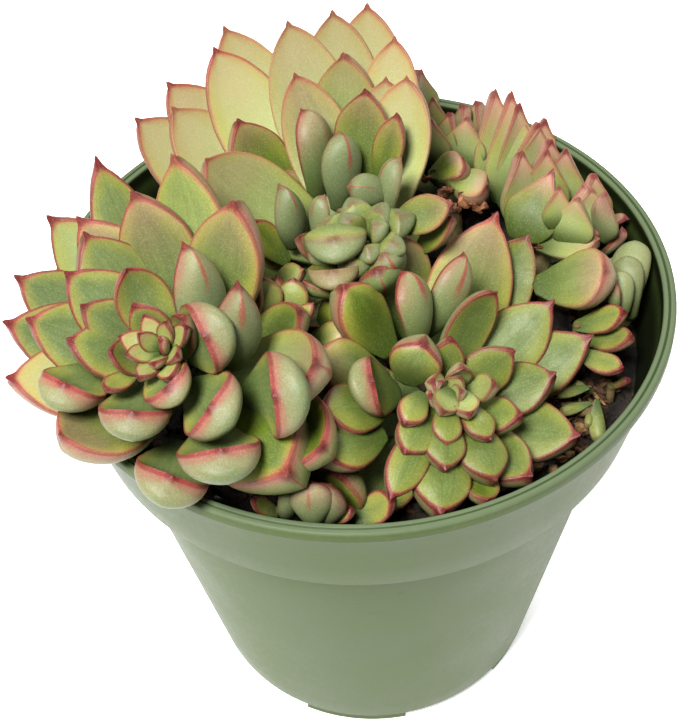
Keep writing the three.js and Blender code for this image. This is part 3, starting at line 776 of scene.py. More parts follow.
def leaves_of(rosette):
    """The leaves of a rosette as dictionaries of millimetres, directions and tones."""
    lean, to = math.radians(rosette["lean"]), math.radians(rosette["lean_to"])
    axis = Vector((math.sin(lean) * math.cos(to), math.sin(lean) * math.sin(to), math.cos(lean)))
    direction = sight_line(*rosette["heart"])
    heart = eye + direction * ((rosette["height"] - eye.z) / direction.z)
    crown = heart - axis * rosette["depth"]
    root = Vector((*rosette["root"], SOIL_LEVEL))
    stem = root - crown
    leaves = []

    def add_leaf(tip, share, words=(), turned_by=0, foot=None, width_factor=1.0):
        tone = dict(FORM, **rosette["tone"])
        for word in words:
            tone.update(WORDS[word])
        roll = math.radians(ROLL_SPREAD) * (Dice.draw() - 0.5) + math.radians(turned_by)
        base = crown + stem * (DESCENT_SHARE * share ** DESCENT_POWER)
        outward = tip - base
        outward -= axis * outward.dot(axis)
        base = base + outward * tone["stub"] - axis * (STUB_DROP * tone["stub"])
        base = base + outward.normalized() * (BASE_START + BASE_GROWTH * share)
        if foot is not None:
            base = foot
        spread = math.hypot(base.x, base.y)
        if spread > FOOT_LIMIT:
            base = Vector((base.x * FOOT_LIMIT / spread, base.y * FOOT_LIMIT / spread, base.z))
        size = (tip - base).length
        width = min(rosette["leaf_width"], size * LONG_SHARE) * width_factor * tone["broad"]
        along = (tip - base).normalized()
        inward = (axis - along * axis.dot(along)).normalized()
        inward.rotate(Matrix.Rotation(roll, 3, along))
        leaves.append(dict(
            base=base, along=along, inward=inward, side=along.cross(inward), reach=size, width=width,
            thick=max(LEAST_THICKNESS, width * PLUMPNESS) * tone["plump"],
            curl=math.radians(HEART_CURL + OUTER_CURL * share + tone["curl"]), tone=tone,
            held="held" in words))

    for x, y, *rest in rosette["tips"]:
        direction = sight_line(x, y)
        nearest = (crown - eye).dot(direction) / direction.length_squared
        slide = rosette["slide"] / direction.length
        far = (heart - eye).dot(axis) / direction.dot(axis)
        for step in range(12):
            offset = eye + direction * far - heart
            height = offset.dot(axis)
            radius = math.sqrt(max(0, offset.length_squared - height * height))
            share = min(1, radius / rosette["reach"])
            far -= (height + rosette["sag"] * share * share) / direction.dot(axis)
            far = min(nearest + slide * 0.9, max(nearest - slide, far))
        words = [item for item in rest if isinstance(item, str)]
        turned_by, sunk = ([item for item in rest if isinstance(item, int)] + [0, 0])[:2]
        far += sunk / direction.length
        foot = None
        for foot_x, foot_y, deeper in (item for item in rest if isinstance(item, tuple)):
            line = sight_line(foot_x, foot_y)
            foot = eye + line * (far + deeper / line.length)
        add_leaf(eye + direction * far, share, words, turned_by, foot)
    count, spread, *words = rosette.get("bud", (0, 0))
    for k in range(count):
        share = math.sqrt((k + 0.5) / count)
        outward = (level - axis * axis.x).normalized()
        outward.rotate(Matrix.Rotation(k * GOLDEN_ANGLE, 3, axis))
        tip = heart + outward * (spread * share) + axis * (BUD_RISE * (1 - share))
        add_leaf(tip, 0.05 * share, words, foot=heart + outward * 0.4 - axis * BUD_DEPTH)
    aside = (level - axis * axis.x).normalized()
    rings = ((rosette["under"], UNDER_REACH, UNDER_DROP), (rosette.get("skirt", (0, 0, 0)), SKIRT_REACH, SKIRT_DROP))
    for (count, start, end), ring_reach, drop in rings:
        for k in range(count):
            angle = math.radians(start + (end - start) * (k + 0.5 * Dice.draw()) / count)
            outward = aside.copy()
            outward.rotate(Matrix.Rotation(angle, 3, axis))
            tip = heart + outward * (rosette["reach"] * ring_reach) - axis * (rosette["sag"] + drop)
            add_leaf(tip, 1, ("shaded",), width_factor=UNDER_WIDTH)
    return leaves, crown, root, axis


plans = {name: leaves_of(rosette) for name, rosette in ROSETTES.items()}
print("leaves", {name: len(plan[0]) for name, plan in plans.items()})

# %% [markdown]
# A leaf of this plant is thick and juicy: broad above the middle, flat or slightly hollow on top,
# round and keeled below, with a short sharp point at the end.
# It could be sculpted once and copied, but each leaf here has its own length, breadth and bend. So
# Geometry Nodes make it from numbers: a sheet of grid points stands for "how far along" and "how
# far round", is placed once for each leaf, and every point then works out where it belongs.
# The same tree leaves marks behind, such as the distance to the leaf's edge, for the colours.

# %% The outlines of a leaf, from base to tip
BLUNT_OUTLINE = [(0, 0.24), (0.12, 0.42), (0.3, 0.70), (0.47, 0.9), (0.62, 1.0), (0.75, 0.99), (0.85, 0.88),
                 (0.92, 0.68), (0.952, 0.42), (0.968, 0.14), (0.982, 0.07), (1, 0.0)]
SHARP_OUTLINE = [(0, 0.3), (0.12, 0.46), (0.28, 0.7), (0.45, 0.91), (0.58, 1.0), (0.68, 0.97), (0.78, 0.8),
                 (0.86, 0.55), (0.905, 0.36), (0.935, 0.19), (0.96, 0.105), (0.985, 0.06), (1, 0.0)]
LONG_OUTLINE = [(0, 0.4), (0.12, 0.68), (0.26, 0.93), (0.36, 1.0), (0.46, 0.95), (0.56, 0.8), (0.66, 0.6),
                (0.76, 0.4), (0.86, 0.22), (0.94, 0.1), (0.975, 0.05), (1, 0.0)]
EVEN_THICKNESS = [(0, 0.5), (0.15, 0.68), (0.35, 0.9), (0.55, 1.0), (0.7, 0.97), (0.82, 0.84),
                  (0.9, 0.62), (0.95, 0.38), (0.975, 0.13), (0.99, 0.06), (1, 0.0)]
ENDED_THICKNESS = [(0, 0.4), (0.2, 0.55), (0.4, 0.74), (0.6, 0.92), (0.76, 1.0), (0.87, 0.94),
                   (0.93, 0.72), (0.958, 0.4), (0.972, 0.14), (0.99, 0.06), (1, 0.0)]


def float_curve(tree, number, points):
    """A curve drawn through points, read at a number from 0 to 1."""
    node = tree.nodes.new("ShaderNodeFloatCurve")
    curve = node.mapping.curves[0]
    curve.points[0].location = points[0]
    curve.points[1].location = points[-1]
    for point in points[1:-1]:
        curve.points.new(*point)
    node.mapping.update()
    join(tree, number, node.inputs["Value"])
    return Number(tree, node.outputs[0])


def named_number(tree, name, kind="FLOAT"):
    """What a point carries under a name."""
    node = tree.nodes.new("GeometryNodeInputNamedAttribute")
    node.data_type = kind
    node.inputs["Name"].default_value = name
    socket = node.outputs["Attribute"]
    return Number(tree, socket) if kind == "FLOAT" else socket


def scaled(tree, vector, number):
    node = tree.nodes.new("ShaderNodeVectorMath")
    node.operation = "SCALE"
    join(tree, vector, node.inputs[0])
    join(tree, number, node.inputs["Scale"])
    return node.outputs[0]


def total(tree, *vectors):
    result = vectors[0]
    for vector in vectors[1:]:
        node = tree.nodes.new("ShaderNodeVectorMath")
        node.operation = "ADD"
        join(tree, result, node.inputs[0])
        join(tree, vector, node.inputs[1])
        result = node.outputs[0]
    return result


def store(tree, geometry, name, value):
    """Writes a number on every point of the geometry."""
    node = tree.nodes.new("GeometryNodeStoreNamedAttribute")
    node.data_type = "FLOAT"
    node.domain = "POINT"
    node.inputs["Name"].default_value = name
    tree.links.new(geometry, node.inputs["Geometry"])
    join(tree, value, node.inputs["Value"])
    return node.outputs["Geometry"]


def step(tree, kind, geometry, **inputs):
    """One geometry node after another."""
    node = tree.nodes.new(kind)
    tree.links.new(geometry, node.inputs[0])
    for name, value in inputs.items():
        join(tree, value, node.inputs[name.replace("_", " ")])
    return node.outputs[0]


# %% The tree that grows leaves
LEAF_INPUTS = {
    "Stations": ("NodeSocketInt", 30), "Points round": ("NodeSocketInt", 33),
    "Edge roundness": ("NodeSocketFloat", 0.055),
    "Keel": ("NodeSocketFloat", 0.22), "Waviness": ("NodeSocketFloat", 0.07), "Prow": ("NodeSocketFloat", 0.7),
}


def leaf_tree():
    tree = bpy.data.node_groups.new("fleshy_leaves", "GeometryNodeTree")
    tree.interface.new_socket(name="Geometry", in_out="INPUT", socket_type="NodeSocketGeometry")
    for name, (kind, value) in LEAF_INPUTS.items():
        tree.interface.new_socket(name=name, in_out="INPUT", socket_type=kind).default_value = value
    tree.interface.new_socket(name="Skin", in_out="INPUT", socket_type="NodeSocketMaterial")
    tree.interface.new_socket(name="Geometry", in_out="OUTPUT", socket_type="NodeSocketGeometry")
    given = tree.nodes.new("NodeGroupInput").outputs
    sheet = tree.nodes.new("GeometryNodeMeshGrid")
    sheet.inputs["Size X"].default_value = 1
    sheet.inputs["Size Y"].default_value = 1
    join(tree, given["Stations"], sheet.inputs["Vertices X"])
    join(tree, given["Points round"], sheet.inputs["Vertices Y"])
    spot = tree.nodes.new("ShaderNodeSeparateXYZ")
    join(tree, tree.nodes.new("GeometryNodeInputPosition").outputs[0], spot.inputs[0])
    run = Number(tree, spot.outputs["X"]) + 0.5
    turn_round = (Number(tree, spot.outputs["Y"]) + 0.5) * (2 * math.pi)
    geometry = store(tree, sheet.outputs["Mesh"], "run", run)
    geometry = store(tree, geometry, "round", turn_round)
    grown = tree.nodes.new("GeometryNodeInstanceOnPoints")
    tree.links.new(given["Geometry"], grown.inputs["Points"])
    tree.links.new(geometry, grown.inputs["Instance"])
    geometry = step(tree, "GeometryNodeRealizeInstances", grown.outputs[0])

    run = named_number(tree, "run")
    turn_round = named_number(tree, "round")
    along = 1 - (1 - run) ** 1.35
    width = named_number(tree, "width")
    thick = named_number(tree, "thick")
    curl = named_number(tree, "curl")
    luck = named_number(tree, "luck")
    ends = (run * 60).least(1.0)

    drift = tree.nodes.new("ShaderNodeCombineXYZ")
    join(tree, along * 1.6, drift.inputs["X"])
    join(tree, turn_round.cosine() * 0.5, drift.inputs["Y"])
    join(tree, luck * 37.0, drift.inputs["Z"])
    wave = noise_number(tree, drift.outputs[0], 1.0, 1.0) - 0.5
    point = named_number(tree, "point")
    sharp, long = point.least(1.0), (point - 1).most(0.0)
    outline = float_curve(tree, along, BLUNT_OUTLINE) * (1 - sharp) + float_curve(tree, along, SHARP_OUTLINE) * sharp
    outline = outline * (1 - long) + float_curve(tree, along, LONG_OUTLINE) * long
    half = width * 0.5 * outline * ends * (1 + wave * given_number(tree, given, "Waviness") * 2)
    belly = named_number(tree, "belly")
    depth = float_curve(tree, along, EVEN_THICKNESS) * (1 - belly) + float_curve(tree, along, ENDED_THICKNESS) * belly
    deep = thick * depth * ends

    x = turn_round.cosine()
    height = turn_round.sine()
    upper = height.most(0.0)
    lower = (height * -1.0).most(0.0)
    crest = (1 - x.size()) ** 2 * along.ramp(0.45, 0.95)
    top = upper * given_number(tree, given, "Edge roundness") * half * 2 \
        - upper ** 2 * named_number(tree, "hollow") * half * along.ramp(0.1, 0.75) * 2
    bottom = lower ** 0.9 * deep + crest * (height * -1.0).ramp(0.0, 0.6) * given_number(tree, given, "Keel") * deep * (1 - belly * 0.8)
    prow = lower * deep * belly * along.ramp(0.45, 0.85) * given_number(tree, given, "Prow")
    lift = top - bottom + wave * given_number(tree, given, "Waviness") * width * along * ends

    reach = named_number(tree, "reach")
    length = reach * (curl * 0.5) / (curl * 0.5).sine()
    angle = curl * (along - 0.5)
    ahead = length / curl * (angle.sine() + (curl * 0.5).sine())
    bow = length / curl * ((curl * 0.5).cosine() - angle.cosine())
    base = named_number(tree, "base", "FLOAT_VECTOR")
    chord = named_number(tree, "along", "FLOAT_VECTOR")
    inward = named_number(tree, "inward", "FLOAT_VECTOR")
    side = named_number(tree, "side", "FLOAT_VECTOR")
    place = total(
        tree, base,
        scaled(tree, chord, ahead - lift * angle.sine() + prow * angle.cosine()),
        scaled(tree, inward, bow + lift * angle.cosine() + prow * angle.sine()),
        scaled(tree, side, x * half))
    geometry = step(tree, "GeometryNodeSetPosition", geometry, Position=place)
    geometry = store(tree, geometry, "length_share", along)
    from_edge = ((half * (1 - x.size())) ** 2 + (lower * deep) ** 2) ** 0.5
    geometry = store(tree, geometry, "edge_mm", from_edge * (1 / MM))
    geometry = store(tree, geometry, "sideways", x)
    geometry = store(tree, geometry, "half_mm", half * (1 / MM))
    geometry = store(tree, geometry, "upper_face", height)
    geometry = step(tree, "GeometryNodeMergeByDistance", geometry, Distance=0.000004)
    geometry = step(tree, "GeometryNodeSetShadeSmooth", geometry)
    geometry = step(tree, "GeometryNodeSetMaterial", geometry, Material=given["Skin"])
    out = tree.nodes.new("NodeGroupOutput")
    tree.links.new(geometry, out.inputs[0])
    return tree


def given_number(tree, given, name):
    return Number(tree, given[name])


# %% [markdown]
# The skin of a leaf runs from grey-green or olive in the middle to peach and red at the edge, with a
# dark red point. Below, the leaf is paler, with a red streak along its keel and a rosy blush near
# the tip. A fine dusty bloom breaks up the colour, and each leaf is painted darker towards its base
# as painted shade. All of it is painted from the marks that the tree left on each point, so no leaf
# needs a picture of its own.

# %% The skin
TONES = ("yellow", "pale", "blush", "line", "keel", "glow")


def skin():
    material, tree, shader, place = new_material("leaf_skin", 0.5, 0.26)

    def mark(name):
        node = tree.nodes.new("ShaderNodeAttribute")
        node.attribute_name = name
        return Number(tree, node.outputs["Fac"])

    along, edge, side, face = mark("length_share"), mark("edge_mm"), mark("sideways"), mark("upper_face")
    narrow = mark("half_mm")
    yellow, pale, blush, line, keel, glow = (mark(name) for name in TONES)
    luck = mark("luck")
    cloud = noise_number(tree, place, 330, 3.0, 0.55)
    patch = noise_number(tree, place, 120, 2.0, 0.5)
    dust = noise_number(tree, place, 3600, 2.0, 0.6)
    below = face.ramp(0.05, -0.05)

    line_place = tree.nodes.new("ShaderNodeCombineXYZ")
    join(tree, side * 9, line_place.inputs["X"])
    join(tree, along * 1.5, line_place.inputs["Y"])
    join(tree, luck * 60, line_place.inputs["Z"])
    veins = noise_number(tree, line_place.outputs[0], 1.0, 2.0, 0.6)

    top = blend_colour(tree, yellow, shade(73, 89, 48), shade(74, 90, 5))
    top = blend_colour(tree, pale * along.ramp(0.0, 0.62) * 0.92, top, shade(139, 148, 90))
    top = blend_colour(tree, cloud.ramp(0.35, 0.7) * (1 - pale) * 0.35, top, shade(62, 76, 18))
    top = blend_colour(tree, veins.ramp(0.65, 0.35) * (1 - pale) * 0.4, top, shade(58, 72, 18))
    halo = (edge + (patch - 0.5) * 4).ramp(3.6, 0.4) * along.ramp(0.15, 0.6) * (blush * 0.35 + 0.22)
    top = blend_colour(tree, halo, top, shade(136, 134, 46))
    under = blend_colour(tree, yellow * 0.6, shade(84, 100, 66), shade(88, 102, 30))
    under = blend_colour(tree, pale * 0.7, under, shade(126, 128, 84))
    base = blend_colour(tree, below, top, under)

    warm = glow * (along + (patch - 0.5) * 0.3).ramp(0.48, 1.0)
    base = blend_colour(tree, warm * 0.75, base, shade(198, 134, 130))
    cream = below * blush * along.ramp(0.4, 0.8) * (edge + (patch - 0.5) * 3).ramp(6.5, 2.5)
    base = blend_colour(tree, cream * 0.4, base, shade(136, 118, 86))
    wander = (cloud - 0.5) * 1.2
    peach = blush * (edge + wander).ramp(1.2, 0.1) * along.ramp(0.3, 0.8)
    base = blend_colour(tree, peach * 0.55, base, shade(158, 84, 64))
    rose = blush * below * (edge + wander + (patch - 0.5) * 2.4).ramp(2.7, 0.9) * along.ramp(0.5, 0.8)
    base = blend_colour(tree, rose * (0.35 + cloud * 0.5), base, shade(128, 74, 66))
    streak = keel * below * (side.size() + (patch - 0.5) * 0.5).ramp(0.20, 0.02) * along.ramp(0.5, 0.75)
    base = blend_colour(tree, streak * 0.85, base, shade(128, 38, 38))
    rim = line * (edge + (patch - 0.5) * 0.3 - along.ramp(0.75, 1.0) * 0.35).ramp(0.55, 0.14) * along.ramp(0.15, 0.5)
    base = blend_colour(tree, rim * 0.9, base, shade(98, 26, 30))
    tip = line * along.ramp(0.87, 0.965) * (edge + wander).ramp(2.2, 0.4) * narrow.ramp(3.6, 1.2)
    base = blend_colour(tree, tip * (0.75 - below * 0.3), base, shade(112, 22, 30))
    flush = along.ramp(0.84, 0.97) * blush * (patch + 0.3) * edge.ramp(2.2, 0.6)
    base = blend_colour(tree, flush * (0.6 - below * 0.3), base, shade(160, 72, 66))
    point = along.ramp(0.88, 0.94) * narrow.ramp(1.7, 0.6)
    base = blend_colour(tree, point * (line * 0.65 + 0.2), base, shade(84, 6, 16))

    # Painted shade: every leaf is painted darker green towards its base, where it sits among the others.
    base = blend_colour(tree, along.ramp(0.5, 0.0) * 0.75, base, shade(46, 62, 10))
    base = blend_colour(tree, luck * 0.22, base, shade(34, 42, 14))
    bloom = dust.ramp(0.5, 0.72)
    base = blend_colour(tree, bloom * 0.06, base, shade(226, 230, 206))
    base = blend_colour(tree, dust.ramp(0.5, 0.3) * (1 - pale * 0.7) * 0.25, base, shade(60, 68, 28))
    join(tree, base, shader.inputs["Base Color"])
    shader.inputs["Subsurface Weight"].default_value = 0.12
    shader.inputs["Subsurface Radius"].default_value = (1.0, 0.7, 0.25)
    shader.inputs["Subsurface Scale"].default_value = 0.002
    join(tree, cloud.ramp(0.2, 0.8, 0.42, 0.6), shader.inputs["Roughness"])
    add_bump(tree, shader, dust * 0.35 + cloud + patch, 0.3, 0.00025)
    return material


leaf_skin = skin()
print("skin of", len(leaf_skin.node_tree.nodes), "nodes")

# %% Grow every rosette
WALL_TOUCH = 0.15
grow = leaf_tree()
socket_of = {item.name: item.identifier for item in grow.interface.items_tree if item.in_out == "INPUT"}


def write(mesh, name, values, kind="FLOAT"):
    layer = mesh.attributes.new(name, kind, "POINT")
    if kind == "FLOAT":
        layer.data.foreach_set("value", values)
    else:
        layer.data.foreach_set("vector", [part for value in values for part in value])


def rest_on_wall(mesh):
    """Leaves that reach the pot lie against its wall, or on its lip, and don't pass through it."""
    for vert in mesh.vertices:
        x, y, z = vert.co / MM
        radius = math.hypot(x, y)
        limit = inner_radius(max(z, floor_top)) - WALL_TOUCH
        if z > POT_HEIGHT + WALL_TOUCH or radius < limit or radius > RIM_RADIUS + WALL_TOUCH:
            continue
        if z > POT_HEIGHT - LIP_DROP / 2 and radius > limit + WALL:
            vert.co.z = (POT_HEIGHT + WALL_TOUCH) * MM
        else:
            vert.co.x, vert.co.y = vert.co.x * limit / radius, vert.co.y * limit / radius


def grown_leaves(name, leaves, seed):
    """A plain mesh of all the leaves of one rosette."""
    dice = random.Random(seed)
    seeds = bpy.data.meshes.new(name + "_seeds")
    seeds.from_pydata([leaf["base"] * MM for leaf in leaves], [], [])
    write(seeds, "base", [leaf["base"] * MM for leaf in leaves], "FLOAT_VECTOR")
    for key in ("along", "inward", "side"):
        write(seeds, key, [leaf[key] for leaf in leaves], "FLOAT_VECTOR")
    for key in ("reach", "width", "thick"):
        write(seeds, key, [leaf[key] * MM for leaf in leaves])
    write(seeds, "curl", [leaf["curl"] for leaf in leaves])
    for key in ("point", "hollow", "belly"):
        write(seeds, key, [leaf["tone"][key] for leaf in leaves])
    write(seeds, "luck", [dice.random() for leaf in leaves])
    for key in TONES:
        write(seeds, key, [min(1, max(0, leaf["tone"][key] * dice.uniform(0.8, 1.15))) for leaf in leaves])
    grower = bpy.data.objects.new(name + "_seeds", seeds)
    scene.collection.objects.link(grower)
    modifier = grower.modifiers.new("leaves", "NODES")
    modifier.node_group = grow
    for key, (kind, value) in LEAF_INPUTS.items():
        modifier[socket_of[key]] = value
    modifier[socket_of["Skin"]] = leaf_skin
    evaluated = grower.evaluated_get(bpy.context.evaluated_depsgraph_get())
    mesh = bpy.data.meshes.new_from_object(evaluated)
    mesh.name = name
    rest_on_wall(mesh)
    bpy.data.objects.remove(grower)
    return mesh


for number, (name, (leaves, crown, root, axis)) in enumerate(plans.items()):
    mesh = grown_leaves(name + "_leaves", leaves, number + 1)
    finish_piece(mesh, name + "_leaves", [name])

# %% [markdown]
# Each rosette sits on a short woody stem that shows from the side, under its leaves.
# A stem is a bent rod with a few leaf scars, so a tube swept from the soil to the crown is enough.

# %% Stems
STEM_RADIUS, STEM_TOP_RADIUS = 2.6, 1.7
STEM_DEPTH = 3.5
STEM_SIDES, STEM_STEPS = 14, 16
# A leaf with the word "held" would touch nothing, so a thin side stem joins it to its stem or the soil
SIDE_STEM_RADIUS, SIDE_STEM_GRIP = 0.8, 1.2
SIDE_STEM_SIDES, SIDE_STEM_STEPS = 10, 5


def tube(points, radii, sides):
    """A closed round rod through points, as vertices and faces."""
    verts, faces = [], []
    for k, (point, radius) in enumerate(zip(points, radii)):
        ahead = points[min(k + 1, len(points) - 1)] - points[max(k - 1, 0)]
        first = ahead.orthogonal().normalized() if k == 0 else first - ahead * (first.dot(ahead) / ahead.length_squared)
        first = first.normalized()
        second = ahead.normalized().cross(first)
        for j in range(sides):
            angle = 2 * math.pi * j / sides
            verts.append((point + (first * math.cos(angle) + second * math.sin(angle)) * radius) * MM)
    for k in range(len(points) - 1):
        for j in range(sides):
            n = (j + 1) % sides
            faces.append((k * sides + j, k * sides + n, (k + 1) * sides + n, (k + 1) * sides + j))
    faces.append(tuple(range(sides - 1, -1, -1)))
    faces.append(tuple((len(points) - 1) * sides + j for j in range(sides)))
    return verts, faces


stem_verts, stem_faces = [], []
for leaves, crown, root, axis in plans.values():
    height = (crown - root).length
    top = min(STEM_TOP_RADIUS, height * 0.2)
    foot = min(STEM_RADIUS, height * 0.3)
    low = root - Vector((0, 0, STEM_DEPTH))
    path, radii = [], []
    for k in range(STEM_STEPS + 1):
        t = k / STEM_STEPS
        bend = (low * (1 - t) ** 2 + (root + Vector((0, 0, height * 0.45))) * 2 * t * (1 - t) + crown * t ** 2)
        path.append(bend)
        radii.append(foot + (top - foot) * t + 0.12 * math.sin(k * 2.4))
    append(stem_verts, stem_faces, *tube(path, radii, STEM_SIDES))
    for leaf in leaves:
        if leaf["held"]:
            start = leaf["base"] + leaf["along"] * SIDE_STEM_GRIP
            below = Vector((start.x, start.y, SOIL_LEVEL - STEM_DEPTH))
            end = min((crown, below), key=lambda point: (point - start).length)
            path = [start.lerp(end, k / SIDE_STEM_STEPS) for k in range(SIDE_STEM_STEPS + 1)]
            append(stem_verts, stem_faces, *tube(path, [SIDE_STEM_RADIUS] * len(path), SIDE_STEM_SIDES))
stem_mesh = bpy.data.meshes.new("stems")
stem_mesh.from_pydata(stem_verts, [], stem_faces)
smooth_by_angle(stem_mesh, 50)
bark, tree, shader, place = new_material("green_bark", 0.7, 0.2)
cloud = noise_number(tree, place, 500, 3.0, 0.6)
join(tree, blend_colour(tree, cloud.ramp(0.35, 0.65), shade(74, 70, 36), shade(104, 86, 58)), shader.inputs["Base Color"])
add_bump(tree, shader, cloud, 0.6, 0.0003)
finish_piece(stem_mesh, "stems", (), bark)

# %% [markdown]
# The soil is littered with chips of bark, bits of straw, grit and a few white grains.
# They repeat, so one small tree of nodes makes them all: a lumpy ball is set at each given point,
# stretched and turned at random, and roughened by noise. What changes is the list of points and the
# sizes given to the tree.

# %% The litter tree
LITTER_INPUTS = {
    "Long": ("NodeSocketFloat", 0.003), "Wide": ("NodeSocketFloat", 0.002), "Thick": ("NodeSocketFloat", 0.001),
    "Spread": ("NodeSocketFloat", 0.4), "Tilt": ("NodeSocketFloat", 0.5), "Ragged": ("NodeSocketFloat", 0.0004),
    "Grain": ("NodeSocketFloat", 700.0), "Seed": ("NodeSocketInt", 1),
}


def between(tree, low, high, seed, kind="FLOAT"):
    """A random value on every point, from low to high."""
    node = tree.nodes.new("FunctionNodeRandomValue")
    node.data_type = kind
    sockets = [slot for slot in node.inputs if slot.enabled]
    join(tree, low, sockets[0])
    join(tree, high, sockets[1])
    join(tree, seed, node.inputs["Seed"])
    output = [slot for slot in node.outputs if slot.enabled][0]
    return Number(tree, output) if kind == "FLOAT" else output


def triple(tree, x, y, z):
    node = tree.nodes.new("ShaderNodeCombineXYZ")
    for value, slot in zip((x, y, z), node.inputs):
        join(tree, value, slot)
    return node.outputs[0]


def litter_tree():
    tree = bpy.data.node_groups.new("litter", "GeometryNodeTree")
    tree.interface.new_socket(name="Geometry", in_out="INPUT", socket_type="NodeSocketGeometry")
    for name, (kind, value) in LITTER_INPUTS.items():
        tree.interface.new_socket(name=name, in_out="INPUT", socket_type=kind).default_value = value
    tree.interface.new_socket(name="Matter", in_out="INPUT", socket_type="NodeSocketMaterial")
    tree.interface.new_socket(name="Geometry", in_out="OUTPUT", socket_type="NodeSocketGeometry")
    given = tree.nodes.new("NodeGroupInput").outputs
    ball = tree.nodes.new("GeometryNodeMeshIcoSphere")
    ball.inputs["Radius"].default_value = 0.5
    ball.inputs["Subdivisions"].default_value = 2
    spread = given_number(tree, given, "Spread")
    share = between(tree, 1 - spread, 1 + spread, given["Seed"])
    other = between(tree, 1 - spread, 1 + spread, given_number(tree, given, "Seed") + 5)
    sizes = triple(tree, given_number(tree, given, "Long") * share, given_number(tree, given, "Wide") * other,
                   given_number(tree, given, "Thick") * share)
    tilt = given_number(tree, given, "Tilt")
    heading = between(tree, 0.0, 2 * math.pi, given_number(tree, given, "Seed") + 1)
    pitch = between(tree, tilt * -1, tilt, given_number(tree, given, "Seed") + 2)
    sway = between(tree, tilt * -1, tilt, given_number(tree, given, "Seed") + 3)
    spots = tree.nodes.new("GeometryNodeInstanceOnPoints")
    join(tree, given["Geometry"], spots.inputs["Points"])
    join(tree, ball.outputs["Mesh"], spots.inputs["Instance"])
    join(tree, triple(tree, sway, pitch, heading), spots.inputs["Rotation"])
    join(tree, sizes, spots.inputs["Scale"])
    geometry = step(tree, "GeometryNodeRealizeInstances", spots.outputs[0])
    jitter = tree.nodes.new("ShaderNodeTexNoise")
    join(tree, given["Grain"], jitter.inputs["Scale"])
    push = tree.nodes.new("ShaderNodeVectorMath")
    push.operation = "SUBTRACT"
    join(tree, jitter.outputs["Color"], push.inputs[0])
    push.inputs[1].default_value = (0.5, 0.5, 0.5)
    geometry = step(tree, "GeometryNodeSetPosition", geometry,
                    Offset=scaled(tree, push.outputs[0], given_number(tree, given, "Ragged") * 2))
    geometry = step(tree, "GeometryNodeSetMaterial", geometry, Material=given["Matter"])
    out = tree.nodes.new("NodeGroupOutput")
    tree.links.new(geometry, out.inputs[0])
    return tree


def strewn(name, points, tree, material, **values):
    """A plain mesh of litter on points given in millimetres."""
    socket = {item.name: item.identifier for item in tree.interface.items_tree if item.in_out == "INPUT"}
    mesh = bpy.data.meshes.new(name + "_points")
    mesh.from_pydata([point * MM for point in points], [], [])
    holder = bpy.data.objects.new(name + "_points", mesh)
    scene.collection.objects.link(holder)
    modifier = holder.modifiers.new("litter", "NODES")
    modifier.node_group = tree
    for key, (kind, value) in LITTER_INPUTS.items():
        modifier[socket[key]] = values.get(key, value)
    modifier[socket["Matter"]] = material
    result = bpy.data.meshes.new_from_object(holder.evaluated_get(bpy.context.evaluated_depsgraph_get()))
    bpy.data.objects.remove(holder)
    return result


def mottled(name, first, second, roughness, grain):
    material, tree, shader, place = new_material(name, roughness, 0.2)
    cloud = noise_number(tree, place, grain, 3.0, 0.6)
    join(tree, blend_colour(tree, cloud.ramp(0.38, 0.62), first, second), shader.inputs["Base Color"])
    add_bump(tree, shader, cloud, 0.6, 0.0002)
    return material


def on_soil(count, seed, most=50.2, lift=0.2, middle=None, reach=0.0):
    """Points on the soil, over all of it or near a point of the picture."""
    dice = random.Random(seed)
    points = []
    while len(points) < count:
        if middle is None:
            angle, radius = dice.uniform(0, 2 * math.pi), most * math.sqrt(dice.random())
            x, y = radius * math.cos(angle), radius * math.sin(angle)
        else:
            line = sight_line(*middle)
            centre = eye + line * ((SOIL_LEVEL - eye.z) / line.z)
            x, y = centre.x + dice.gauss(0, reach), centre.y + dice.gauss(0, reach)
        if math.hypot(x, y) < most:
            points.append(Vector((x, y, soil_height(x, y) + lift)))
    return points


litter = litter_tree()
bark_brown = mottled("bark_chips", shade(22, 15, 9), shade(74, 50, 30), 0.8, 900)
straw_tan = mottled("straw", shade(66, 46, 26), shade(116, 88, 54), 0.7, 700)
grit_dark = mottled("grit", shade(14, 11, 9), shade(44, 34, 26), 0.85, 1200)
grain_white = mottled("white_grains", shade(150, 146, 136), shade(196, 192, 182), 0.7, 1500)
LITTER = [
    ("crumbs", on_soil(700, 3, lift=0.25), grit_dark, dict(Long=0.0022, Wide=0.0017, Thick=0.0014, Tilt=1.5, Seed=4)),
    ("chips", on_soil(80, 5, 49, lift=0.5) + on_soil(22, 6, 48, lift=0.9, middle=(600, 418), reach=4.5), bark_brown,
     dict(Long=0.0045, Wide=0.0024, Thick=0.0009, Ragged=0.0006, Seed=9)),
    ("straws", on_soil(36, 7, 46, lift=0.5) + on_soil(24, 8, 46, lift=1.0, middle=(588, 428), reach=4), straw_tan,
     dict(Long=0.0062, Wide=0.0006, Thick=0.0005, Ragged=0.0003, Grain=300.0, Tilt=0.2, Seed=12)),
    ("ochre_bits", on_soil(16, 9, 48, lift=1.0, middle=(562, 452), reach=3.2), straw_tan,
     dict(Long=0.0026, Wide=0.0019, Thick=0.0014, Ragged=0.0007, Tilt=1.0, Seed=15)),
    ("white_grains", on_soil(46, 10, lift=0.5), grain_white,
     dict(Long=0.0012, Wide=0.0011, Thick=0.0009, Ragged=0.0003, Tilt=1.5, Seed=18)),
]
for name, points, material, values in LITTER:
    mesh = strewn(name, points, litter, material, **values)
    smooth_by_angle(mesh, 30)
    finish_piece(mesh, name)

# %% [markdown]
# Old leaves dry to thin brown scraps that stay caught between the rosettes.
# Each scrap is a small sheet, crumpled by noise and closed with a little thickness.

